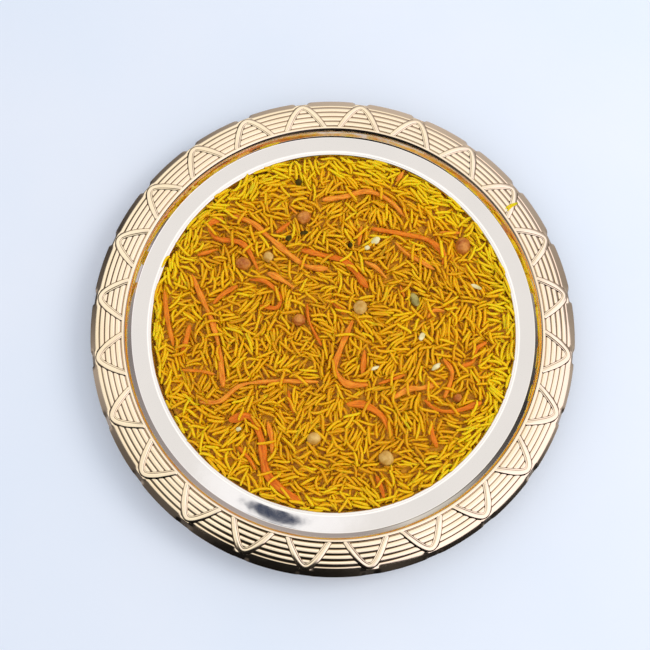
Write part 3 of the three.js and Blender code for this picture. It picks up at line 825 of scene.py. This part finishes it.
def empty_terrain():
    """Heights of what the grains lie on: the core, the basin's wall and the ledge."""
    line = np.linspace(-MAP_HALF, MAP_HALF, MAP_SIDE)
    y, x = np.meshgrid(line, line, indexing="ij")
    wall = SHEET + (np.hypot(x, y) - wall_radius(SHEET)) * math.tan(WALL_SLOPE)
    terrain = np.maximum(rice_z(x, y) - CORE_DEPTH, np.minimum(wall, LEDGE_Z))
    return terrain, x, y


def allowed_radius(angle):
    """How far from the axis a grain's end may lie in each direction."""
    reach = np.full(angle.shape, RICE_RADIUS)
    for middle, half, radius in REACHES:
        near = turn_from(angle, math.radians(middle)) < math.radians(half)
        reach = np.where(near, radius, reach)
    return reach


def flow_angle(x, y):
    """The direction in which most grains near a place point."""
    swirl = sum(
        weight * noise.noise(Vector((x, y, row)) * pitch) for row, pitch, weight in FLOW_NOISE
    )
    return swirl * 2 * math.pi


def rest_grain(support, half):
    """Height of the middle, slope and line of grains that rest on the heights below them."""
    best = support[:, len(SPREAD) // 2]
    tilt = np.zeros(len(support))
    for i, j in PAIRS:
        a = SPREAD[i] * half
        b = SPREAD[j] * half
        level = (support[:, i] * b - support[:, j] * a) / (b - a)
        higher = level > best
        tilt = np.where(higher, (support[:, j] - support[:, i]) / (b - a), tilt)
        best = np.where(higher, level, best)
    steep = np.abs(tilt) > STEEPEST
    tilt = np.clip(tilt, -STEEPEST, STEEPEST)
    lean = SPREAD * half * tilt[:, None]
    best = np.where(steep, np.max(support - lean, axis=1), best)
    return best, tilt, lean


def lay_grains(terrain, ceiling, count, choices, spread, sites=None, lengths=GRAIN_LENGTH):
    """Drops grains one by one; of a few random places each takes the one where it lies lowest.

    Returns centres, directions, lengths and radii. A grain never rises above the ceiling's map.
    The places are all over the dish, or near the given sites. Spread is that of the directions.
    """
    laid = []
    for _ in range(count):
        length = rng.uniform(*lengths)
        radius = rng.uniform(*GRAIN_RADIUS)
        distance = (RICE_RADIUS + WALL_REACH) * np.sqrt(rng.random(choices))
        around = rng.random(choices) * 2 * math.pi
        x = distance * np.cos(around)
        y = distance * np.sin(around)
        if sites is not None:
            near = sites[rng.integers(0, len(sites), choices)].T
            x, y = near + rng.normal(0, SITE_SCATTER, (2, choices))
        heading = np.array([flow_angle(a, b) for a, b in zip(x, y)])
        heading = heading + rng.normal(0, spread, choices)
        half = length / 2 - RESTED_END * radius
        along_x = x[:, None] + SPREAD * half * np.cos(heading)[:, None]
        along_y = y[:, None] + SPREAD * half * np.sin(heading)[:, None]
        outside = np.hypot(along_x, along_y) + radius > allowed_radius(np.arctan2(along_y, along_x))
        cells = (cell_of(along_y), cell_of(along_x))
        best, tilt, lean = rest_grain(terrain[cells], half)
        middle_z = best + GRAIN_SINK * radius
        too_high = middle_z[:, None] + lean + radius > ceiling[cells]
        refused = outside.any(axis=1) | too_high.any(axis=1)
        score = np.where(refused, np.inf, middle_z - rice_z(x, y))
        pick = int(np.argmin(score))
        if not np.isfinite(score[pick]):
            continue
        direction = np.array([math.cos(heading[pick]), math.sin(heading[pick]), tilt[pick]])
        direction /= np.linalg.norm(direction)
        centre = np.array([x[pick], y[pick], middle_z[pick]])
        laid.append((centre, direction, length, radius))
        raise_terrain(terrain, centre, direction, half, radius)
    return laid


def raise_terrain(terrain, centre, direction, half, radius):
    """Adds one grain to the map of heights."""
    steps = np.arange(-half, half + MAP_PAST_END, MAP_STEP)
    side = np.array([-direction[1], direction[0]]) / math.hypot(direction[0], direction[1])
    x = centre[0] + steps[:, None] * direction[0] + ACROSS * radius * side[0]
    y = centre[1] + steps[:, None] * direction[1] + ACROSS * radius * side[1]
    top = centre[2] + steps[:, None] * direction[2] + GRAIN_TOP * radius * np.sqrt(1 - ACROSS ** 2)
    np.maximum.at(terrain, (cell_of(y), cell_of(x)), top)


# Rings along a grain: place from end to end and share of its full thickness.
GRAIN_RINGS = [(-0.95, 0.66), (-0.6, 0.95), (0, 1), (0.6, 0.96), (0.95, 0.64)]
GRAIN_SIDES = 5


def grain_template():
    """Places along, across and up for one grain, and its faces."""
    rows = [
        (place, share * math.cos(angle), share * math.sin(angle))
        for place, share in GRAIN_RINGS
        for angle in 2 * math.pi * np.arange(GRAIN_SIDES) / GRAIN_SIDES
    ]
    tip = len(rows)
    last_ring = tip - GRAIN_SIDES
    face_sets = [
        grid_faces(len(GRAIN_RINGS), GRAIN_SIDES),
        pole_faces(tip, 0, GRAIN_SIDES),
        pole_faces(tip + 1, last_ring, GRAIN_SIDES),
    ]
    return np.array(rows + [(-1, 0, 0), (1, 0, 0)]), face_sets


def covered_depth(centres, directions, lengths, terrain):
    """How deep each grain lies under what covers it, on average along its length."""
    halves = lengths / 2
    places = centres[:, None, :] + (SPREAD * halves[:, None])[..., None] * directions[:, None, :]
    tops = terrain[cell_of(places[..., 1]), cell_of(places[..., 0])]
    own_top, deepest = COVER
    return np.clip(tops - places[..., 2] - own_top, 0, deepest).mean(axis=1)


def grain_tones_with_painted_light_and_shade(centres, directions, lengths, terrain):
    """Tint of each grain from 0 to 1: random, with painted shade where it is covered, brighter at the edge
    and with painted light strongest on one side of it.
    """
    edge = smooth_step(*EDGE_TONE_RING, np.hypot(centres[:, 0], centres[:, 1]))
    painted_light_side = 0.5 + 0.5 * np.cos(np.arctan2(centres[:, 1], centres[:, 0]) - PAINTED_LIGHT_AZIMUTH)
    all_round, painted_light_most = EDGE_LIFT_AND_PAINTED_LIGHT
    tone = rng.normal(*TONE, len(centres)) + (all_round + painted_light_most * painted_light_side) * edge
    depth = covered_depth(centres, directions, lengths, terrain)
    return np.clip(tone - PAINTED_SHADE_PER_MM * depth / MM, 0, 1)


def grain_pieces(grains, material, name, terrain):
    """Meshes of whole grains, each with its own bend and thickness, and a tint with painted shade and light.
    """
    template, template_faces = grain_template()
    place, template_side, template_up = template.T
    arch = 0.5 - place ** 2
    wave = place - place ** 3
    for part, first in enumerate(range(0, len(grains), GRAINS_PER_PIECE)):
        some = grains[first:first + GRAINS_PER_PIECE]
        centres, directions, lengths, radii = map(np.array, zip(*some))
        across = np.stack([-directions[:, 1], directions[:, 0], np.zeros(len(some))], axis=-1)
        across /= np.linalg.norm(across, axis=1, keepdims=True)
        upward = np.cross(directions, across)
        bends = rng.normal(0, GRAIN_BEND, len(some))
        waves = rng.normal(0, GRAIN_WAVE, len(some))
        droops = np.abs(rng.normal(0, GRAIN_DROOP, len(some)))
        offset = place[None, :] * lengths[:, None] / 2
        aside = template_side * radii[:, None] + arch * bends[:, None] + wave * waves[:, None]
        above = GRAIN_FLATNESS * template_up * radii[:, None] + arch * droops[:, None]
        points = centres[:, None, :] + offset[..., None] * directions[:, None, :]
        points = points + aside[..., None] * across[:, None, :]
        points = points + above[..., None] * upward[:, None, :]
        base = (np.arange(len(some)) * len(template))[:, None, None]
        face_sets = [(faces[None] + base).reshape(-1, faces.shape[1]) for faces in template_faces]
        piece = mesh_piece(f"{name}_{part + 1}", points, face_sets, material)
        # The tone holds painted shade under cover and painted light at the edge, over a random tint.
        tone = grain_tones_with_painted_light_and_shade(centres, directions, lengths, terrain)
        keep_values(piece, "tone", np.repeat(tone, len(template)))
        finish_piece(piece, ["rice"])


# ---- carrot strips ------------------------------------------------------------------------------

FINE_STEPS = 40  # points between two of the given ones, before they are spaced evenly


def smooth_route(points):
    """A centripetal Catmull-Rom curve through points, with a point about every STRIP_STATION."""
    fine = [Vector(point) * MM for point in points]
    if len(fine) > 2:
        knots = [2 * fine[0] - fine[1]] + fine + [2 * fine[-1] - fine[-2]]
        fine = []
        for p0, p1, p2, p3 in zip(knots, knots[1:], knots[2:], knots[3:]):
            t1 = math.sqrt((p1 - p0).length)
            t2 = t1 + math.sqrt((p2 - p1).length)
            t3 = t2 + math.sqrt((p3 - p2).length)
            for t in np.linspace(t1, t2, FINE_STEPS, endpoint=False):
                a1 = p0.lerp(p1, t / t1)
                a2 = p1.lerp(p2, (t - t1) / (t2 - t1))
                a3 = p2.lerp(p3, (t - t2) / (t3 - t2))
                b1 = a1.lerp(a2, t / t2)
                b2 = a2.lerp(a3, (t - t1) / (t3 - t1))
                fine.append(b1.lerp(b2, (t - t1) / (t2 - t1)))
        fine.append(knots[-2])
    fine = np.array(fine)
    lengths = np.concatenate([[0], np.cumsum(np.linalg.norm(np.diff(fine, axis=0), axis=1))])
    count = max(STRIP_MIN_STATIONS, int(round(lengths[-1] / STRIP_STATION)))
    even = np.linspace(0, lengths[-1], count + 1)
    return np.stack([np.interp(even, lengths, fine[:, k]) for k in range(2)], axis=-1)


def squared(values, power):
    """Makes the cosines or sines of a round section squarer, where the power is below 1."""
    return np.sign(values) * np.abs(values) ** power


STRIP_SIDES = 12
FIBRE_LENGTH = 10 * MM  # length of a streak
FIBRE_WIDTH = 1.5  # streaks across a strip
FIBRE_SHIFT = 7  # between two strips in the noise


def strip_mesh(route, width, seed):
    """Points, face sets, heights of the top and fibre coordinates of one soft flat strip."""
    count = len(route)
    tangent = np.gradient(route, axis=0)
    tangent /= np.linalg.norm(tangent, axis=1, keepdims=True)
    side = np.stack([-tangent[:, 1], tangent[:, 0]], axis=-1)
    travel = np.arange(count) * STRIP_STATION
    from_end = np.minimum(np.arange(count), np.arange(count)[::-1]) * STRIP_STATION
    widening = np.sqrt(np.clip(from_end / STRIP_TAPER, 0, 1))
    taper = STRIP_END_WIDTH + (1 - STRIP_END_WIDTH) * widening
    wobble, swell, dip, roll = (
        np.array([noise.noise(Vector((place * pitch, seed, row))) for place in travel])
        for pitch, row in STRIP_NOISE
    )
    roll = roll * STRIP_ROLL
    half = width / 2 * taper * (STRIP_WIDTHS[0] + STRIP_WIDTHS[1] * wobble)
    thick = STRIP_THICKNESS / 2 * (1 + taper) / 2 * (1 + STRIP_SWELL * swell)
    middle = STRIP_BASE + STRIP_THICKNESS / 2
    centre_z = rice_z(route[:, 0], route[:, 1]) + middle + STRIP_DIP * dip
    angle = 2 * math.pi * np.arange(STRIP_SIDES) / STRIP_SIDES
    flat = squared(np.cos(angle), STRIP_CORNERS[0])
    tall = squared(np.sin(angle), STRIP_CORNERS[1])
    across = half[:, None] * flat * np.cos(roll)[:, None] - thick[:, None] * tall * np.sin(roll)[:, None]
    up = half[:, None] * flat * np.sin(roll)[:, None] + thick[:, None] * tall * np.cos(roll)[:, None]
    points = np.stack([
        route[:, 0][:, None] + side[:, 0][:, None] * across,
        route[:, 1][:, None] + side[:, 1][:, None] * across,
        centre_z[:, None] + up,
    ], axis=-1)
    fibre = np.stack([
        np.broadcast_to(travel[:, None] / FIBRE_LENGTH, across.shape),
        np.broadcast_to(FIBRE_WIDTH * flat, across.shape),
        np.broadcast_to(FIBRE_WIDTH * tall + FIBRE_SHIFT * seed, across.shape),
    ], axis=-1)
    face_sets = [grid_faces(count, STRIP_SIDES), end_faces(count, STRIP_SIDES)]
    return points.reshape(-1, 3), face_sets, centre_z + thick, fibre.reshape(-1, 3)


def carrot_piece(strips, material):
    """All the strips as one mesh, each with its own tone."""
    points, face_sets, _, fibres = zip(*strips)
    sizes = [len(part) for part in points]
    firsts = np.cumsum([0] + sizes[:-1])
    tones = [rng.uniform(*CARROT_TONE_RANGE) for _ in strips]
    joined = [
        np.concatenate([faces + first for faces, first in zip(same_size, firsts)])
        for same_size in zip(*face_sets)
    ]
    piece = mesh_piece("carrot_strips", np.concatenate(points), joined, material)
    keep_values(piece, "tone", np.repeat(tones, sizes))
    keep_values(piece, "fibre", np.concatenate(fibres))
    finish_piece(piece, [f"carrot_{i + 1:02d}" for i in range(len(strips))])


# ---- raisins, chickpeas and nuts ----------------------------------------------------------------

def ball_points(rings, columns):
    """Unit sphere: rows of rings, then the two poles; and its sets of faces."""
    tilt = math.pi * (np.arange(rings) + 1) / (rings + 1)
    turn = 2 * math.pi * np.arange(columns) / columns
    body = np.stack([
        np.sin(tilt)[:, None] * np.cos(turn),
        np.sin(tilt)[:, None] * np.sin(turn),
        np.cos(tilt)[:, None] * np.ones(columns),
    ], axis=-1).reshape(-1, 3)
    points = np.concatenate([body, [[0, 0, 1], [0, 0, -1]]])
    top = pole_faces(len(body), 0, columns)[:, ::-1]
    bottom = pole_faces(len(body) + 1, (rings - 1) * columns, columns)
    return points, [grid_faces(rings, columns)[:, ::-1], np.concatenate([top, bottom])]


def topping(name, material, folds, fold_depth):
    """One round topping, half sunk in the rice, with folds that follow noise."""
    x, y, length, width, height, turn = ROUND_TOPPINGS[name]
    points, face_sets = ball_points(*TOPPING_GRID)
    seed = float(x + y)
    closeness, lump_height = TOPPING_LUMPS
    relief = []
    for point in points:
        place = Vector(point)
        broad = noise.noise(place * closeness + Vector((seed, 0, 0)))
        fine = abs(noise.noise(place * folds + Vector((0, seed, 0))))
        relief.append(1 + lump_height * broad - fold_depth * (1 - 2 * fine) ** FOLD_SHARPNESS)
    relief = np.clip(np.array(relief), *TOPPING_LIMITS)
    points = points * relief[:, None] * (np.array([length, width, height]) / 2 * MM)
    angle = math.radians(turn)
    spun = points.copy()
    spun[:, 0] = points[:, 0] * math.cos(angle) - points[:, 1] * math.sin(angle)
    spun[:, 1] = points[:, 0] * math.sin(angle) + points[:, 1] * math.cos(angle)
    spun += np.array([x * MM, y * MM, rice_z(x * MM, y * MM)])
    piece = mesh_piece(f"{name}_skin", spun, face_sets, material)
    finish_piece(piece, [name])


def sliver(index, material):
    """A bit of nut or skin that lies on the rice."""
    x, y, length, width, turn, _ = SLIVERS[index]
    points, face_sets = ball_points(*SLIVER_GRID)
    closeness, lump_height = SLIVER_ROUGHNESS
    own_noise = Vector((index, 3, 0))
    rough = np.array([noise.noise(Vector(point) * closeness + own_noise) for point in points])
    points = points * (1 + lump_height * rough)[:, None]
    points = points * np.array([length, width, SLIVER_HEIGHT / MM]) / 2 * MM
    turned = Matrix.Rotation(math.radians(turn), 3, "Z")
    turned = turned @ Matrix.Rotation(rng.uniform(-SLIVER_TILT, SLIVER_TILT), 3, "Y")
    points = points @ np.array(turned).T
    points += np.array([x * MM, y * MM, rice_z(x * MM, y * MM) + SLIVER_LIFT])
    piece = mesh_piece(f"sliver_{index + 1}", points, face_sets, material)
    finish_piece(piece, ["rice"])


# ---- floor, light and camera --------------------------------------------------------------------

FLOOR_HALF = 1.6
CAMERA_AT = Vector((-24.575, -135.388, 687.718)) * MM
CAMERA_TARGET = Vector((-6.6, 0.6, 29.5)) * MM
CAMERA_ROLL = math.radians(-0.31)
CAMERA_LENS = 53.54
SENSOR_WIDTH = 36
LAMP_AT = Vector((1.0, 0.12, 1.2))
LAMP_TARGET = Vector((0, 0, 0.02))
LAMP_SIZE = 0.7
LAMP_POWER = 7
LAMP_COLOUR = (1.0, 0.98, 0.95)


def floor_piece():
    material = plain_material("floor_paint", (0.78, 0.85, 0.93), roughness=0.75)
    clouds = noise_texture(material.node_tree, scale=5, detail=4)
    set_shader(material, {"Base Color": colour_ramp(material.node_tree, clouds, FLOOR_TONES)})
    corners = np.array([(-1, -1, 0), (1, -1, 0), (1, 1, 0), (-1, 1, 0)]) * FLOOR_HALF
    floor = mesh_piece("floor", corners, [np.array([[0, 1, 2, 3]])], material)
    floor.visible_glossy = False


# What the metal mirrors. For each azimuth in degrees: the height at which the dark surroundings
# end, how bright it is above them and how bright they are. Heights are cosines from MIRROR_POLE.
SURROUNDINGS = [
    (0, 0.22, 1.25, 0.43), (18, 0.74, 1.3, 0.3), (45, 0.74, 1.2, 0.45), (70, 0.7, 1.12, 0.6),
    (90, 0.65, 1.1, 0.52), (105, 0.5, 1.1, 0.4), (120, 0.47, 1.1, 0.2), (145, 0.46, 1.1, 0.05),
    (165, 0.46, 1.1, 0.14), (180, 0.44, 1.05, 0.4), (200, 0.5, 1, 0.13), (225, 0.52, 1.02, 0.08),
    (238, 0.8, 0.96, 0.008), (272, 0.8, 0.96, 0.008), (288, 0.68, 1.2, 0.05), (302, 0.27, 1.4, 0.02),
    (322, 0.22, 1.38, 0.03), (336, 0.17, 1.36, 0.07), (350, 0.14, 1.33, 0.4), (360, 0.22, 1.25, 0.43),
]
MIRROR_POLE = (79.7, 78.2)  # azimuth and elevation in degrees, as all directions here
EDGE_BLUR = 0.06
TABLE_WHITE = 2  # brightness above the edge that the ramp keeps as 1
WARM_ABOVE = (2, 2, 1.86)
COOL_ABOVE = (2, 1.92, 2.1)
COOL_SIDE = (345, 0)
COOL_FADE = (-0.1, 0.4)
BELOW = (1, 0.94, 0.94)
# Patches round the pole, from outside to inside: the fade at their edge and their colour.
POLE_PATCHES = [((0.948, 0.958), (0.98, 0.97, 0.96)), ((0.989, 0.994), (1.4, 1.38, 1.36))]
WINDOW_SIDE = (258, 0)
WINDOW_FADES = [(-0.862, -0.872), (-0.955, -0.94)]  # its upper and lower edge
WINDOW_ENDS = (0.3, 0.05)
WINDOW_COLOUR = (0.66, 0.74, 0.84)
LENS_AT = (156, 88.4)
# A pale halo and the dark lens in it: outer and inner radius of the fade in degrees, and colour.
LENS_PATCHES = [((6, 2.5), (1.16, 1.17, 1.2)), ((1.9, 1.4), (0.045, 0.06, 0.11))]
SKY_FADE = (0.1, 0.95)
SKY_LOW = (0.58, 0.59, 0.63)
SKY_HIGH = (0.90, 0.925, 1.0)


def mirrored_room(tree, direction):
    """The colour that shiny things mirror in each direction."""
    split = add_node(tree, "SeparateXYZ", {"Vector": direction})
    azimuth = operate(tree, "ARCTAN2", split.outputs["Y"], split.outputs["X"])
    share = operate(tree, "FRACT", operate(tree, "DIVIDE", azimuth, 2 * math.pi))
    stops = [(turn / 360, (edge, above / TABLE_WHITE, below)) for turn, edge, above, below in SURROUNDINGS]
    table = add_node(tree, "SeparateColor", {"Color": colour_ramp(tree, share, stops)}).outputs
    height = towards(tree, direction, *MIRROR_POLE)
    cool = fade(tree, towards(tree, direction, *COOL_SIDE), *COOL_FADE)
    above = mix_colours(
        tree, cool,
        mix_colours(tree, table["Green"], BLACK, WARM_ABOVE),
        mix_colours(tree, table["Green"], BLACK, COOL_ABOVE),
    )
    below = mix_colours(tree, table["Blue"], BLACK, BELOW)
    over_edge = operate(tree, "SUBTRACT", height, table["Red"])
    colour = mix_colours(tree, fade(tree, over_edge, -EDGE_BLUR, EDGE_BLUR), below, above)
    for limits, patch in POLE_PATCHES:
        colour = mix_colours(tree, fade(tree, height, *limits), colour, patch)
    window = fade(tree, towards(tree, direction, *WINDOW_SIDE), *WINDOW_ENDS)
    for limits in WINDOW_FADES:
        window = operate(tree, "MULTIPLY", fade(tree, height, *limits), window)
    colour = mix_colours(tree, window, colour, WINDOW_COLOUR)
    near_lens = towards(tree, direction, *LENS_AT)
    for degrees, patch in LENS_PATCHES:
        limits = [math.cos(math.radians(angle)) for angle in degrees]
        colour = mix_colours(tree, fade(tree, near_lens, *limits), colour, patch)
    return colour


def studio_world():
    """Soft bluish light on all that is matt, and a room of bright and dark parts to mirror."""
    world = bpy.data.worlds.new("studio")
    world.use_nodes = True
    tree = world.node_tree
    direction = add_node(tree, "TexCoord").outputs["Generated"]
    height = add_node(tree, "SeparateXYZ", {"Vector": direction}).outputs["Z"]
    sky = mix_colours(tree, fade(tree, height, *SKY_FADE), SKY_LOW, SKY_HIGH)
    shiny = add_node(tree, "LightPath").outputs["Is Glossy Ray"]
    colour = mix_colours(tree, shiny, sky, mirrored_room(tree, direction))
    set_inputs(tree, tree.nodes["Background"], {"Color": colour, "Strength": 1})
    bpy.context.scene.world = world


def key_light():
    light = bpy.data.lights.new("key", "AREA")
    light.energy = LAMP_POWER
    light.size = LAMP_SIZE
    light.color = LAMP_COLOUR
    lamp = bpy.data.objects.new("key", light)
    lamp.location = LAMP_AT
    lamp.rotation_euler = (LAMP_TARGET - lamp.location).to_track_quat("-Z", "Y").to_euler()
    lamp.visible_glossy = False
    bpy.context.scene.collection.objects.link(lamp)


def camera():
    lens = bpy.data.cameras.new("camera")
    lens.lens = CAMERA_LENS
    lens.sensor_width = SENSOR_WIDTH
    lens.clip_start = 10 * MM
    seen = bpy.data.objects.new("camera", lens)
    back = (CAMERA_AT - CAMERA_TARGET).normalized()
    right = Vector((0, 1, 0)).cross(back).normalized()
    up = back.cross(right)
    turned = Matrix((right, up, back)).transposed() @ Matrix.Rotation(CAMERA_ROLL, 3, "Z")
    seen.matrix_world = Matrix.Translation(CAMERA_AT) @ turned.to_4x4()
    bpy.context.scene.collection.objects.link(seen)
    bpy.context.scene.camera = seen


# ---- the dish of rice ---------------------------------------------------------------------------

# The gold's grooves and ribbon sides are darkened with painted shade.
gold = metal_material(
    "gold_metal", colour=(0.96, 0.80, 0.61), tarnish=(0.93, 0.76, 0.56), roughness=0.1,
    groove_shade=(0.27, 0.185, 0.11),
)
silver = metal_material(
    "silver_metal", colour=(0.83, 0.79, 0.755), tarnish=(0.81, 0.775, 0.74), roughness=0.05,
)
gold_rim(gold)
rim_ribbons(gold)
silver_basin(silver)

grain_yellow = rice_material()
rice_core(core_material())

terrain, map_x, map_y = empty_terrain()
map_radius = np.hypot(map_x, map_y)
level = rice_z(map_x, map_y)
past_wall = map_radius > wall_radius(RICE_EDGE_Z)
ceiling = np.where(past_wall, LEDGE_Z + LEDGE_ROOF[0], level + UNDER_ROOF)

# The strips and toppings lower the ceiling for the grains below them and carry those above them.
routes = [smooth_route(points) for _, *points in STRIPS]
strips = [
    strip_mesh(route, width * MM, i * STRIP_SEED)
    for i, (route, (width, *_)) in enumerate(zip(routes, STRIPS))
]
tops = level - UNDER_LEVEL
for route, (width, *_), (_, _, strip_tops, _) in zip(routes, STRIPS, strips):
    for (x, y), z in zip(route, strip_tops):
        near = np.hypot(map_x - x, map_y - y) < width / 2 * MM
        ceiling[near] = np.minimum(ceiling[near], rice_z(x, y) - STRIP_CLEARANCE)
        tops[near] = np.maximum(tops[near], z)
for x, y, length, width, height, turn in ROUND_TOPPINGS.values():
    angle = math.radians(turn)
    dx = map_x - x * MM
    dy = map_y - y * MM
    u = (dx * math.cos(angle) + dy * math.sin(angle)) / (length / 2 * MM)
    v = (dy * math.cos(angle) - dx * math.sin(angle)) / (width / 2 * MM)
    inside = u * u + v * v < 1
    ceiling[u * u + v * v < TOPPING_HEART] = 0
    dome = rice_z(x * MM, y * MM) + height / 2 * MM * np.sqrt(np.clip(1 - u * u - v * v, 0, 1))
    tops[inside] = np.maximum(tops[inside], dome[inside])

bare = terrain.copy()
under = lay_grains(terrain, ceiling, *UNDER_GRAINS)
gaps = (terrain - bare < GAP_COVER) & (map_radius < EDGE_RING[1]) & (ceiling > level - UNDER_LEVEL)
gap_sites = np.stack([map_x[gaps], map_y[gaps]], axis=-1)
under += lay_grains(terrain, ceiling, *BROKEN_GRAINS, gap_sites, BROKEN_LENGTH)
terrain = np.maximum(terrain, tops)
open_sky = np.where(past_wall, LEDGE_Z + LEDGE_ROOF[1], level + UPPER_ROOF)
upper = lay_grains(terrain, open_sky, *UPPER_GRAINS)
ring_turn = rng.random(EDGE_SITES) * 2 * math.pi
ring_r = rng.uniform(*EDGE_RING, EDGE_SITES)
ring_sites = np.stack([ring_r * np.cos(ring_turn), ring_r * np.sin(ring_turn)], axis=-1)
upper += lay_grains(terrain, open_sky, *EDGE_GRAINS, ring_sites)
over_strips = open_sky + CROSSING_ROOM
upper += lay_grains(terrain, over_strips, *CROSSING_GRAINS, np.concatenate(routes))
grain_pieces(under, grain_yellow, "rice_grains_low", terrain)
grain_pieces(upper, grain_yellow, "rice_grains_top", terrain)
stray = []
for x, y, turn, length in STRAY_GRAINS:
    centre = np.array([x * MM, y * MM, STRAY_Z])
    direction = np.array([math.cos(math.radians(turn)), math.sin(math.radians(turn)), STRAY_TILT])
    stray.append((centre, direction, length * MM, STRAY_RADIUS))
grain_pieces(stray, grain_yellow, "stray_grains", terrain)

carrot_piece(strips, carrot_material())

# Dark and light tone, roughness, depth of the wrinkles and shine.
raisin = topping_material("raisin_skin", (0.42, 0.10, 0.01), (0.74, 0.29, 0.045), 0.24, 0.5 * MM, 0.35)
chickpea = topping_material("chickpea_skin", (0.56, 0.28, 0.04), (0.80, 0.52, 0.15), 0.26, 0.15 * MM, 0.4)
pistachio = topping_material("pistachio_skin", (0.17, 0.13, 0.015), (0.46, 0.38, 0.10), 0.4, 0.5 * MM)
nut = topping_material("nut_flesh", (0.66, 0.56, 0.22), (0.92, 0.82, 0.45), 0.45, 0.2 * MM, 0.3)
skin = topping_material("dark_skin", (0.035, 0.02, 0.002), (0.11, 0.075, 0.01), 0.8, 0.4 * MM, 0.1)
topping_skins = {"raisin": raisin, "chickpea": chickpea, "pistachio": pistachio}
for name in ROUND_TOPPINGS:
    kind = name.split("_")[0]
    topping(name, topping_skins[kind], *TOPPING_FOLDS[kind])
for index, (*_, kind) in enumerate(SLIVERS):
    sliver(index, nut if kind == "nut" else skin)

floor_piece()
studio_world()
key_light()
camera()
bpy.context.scene.view_settings.view_transform = "Standard"
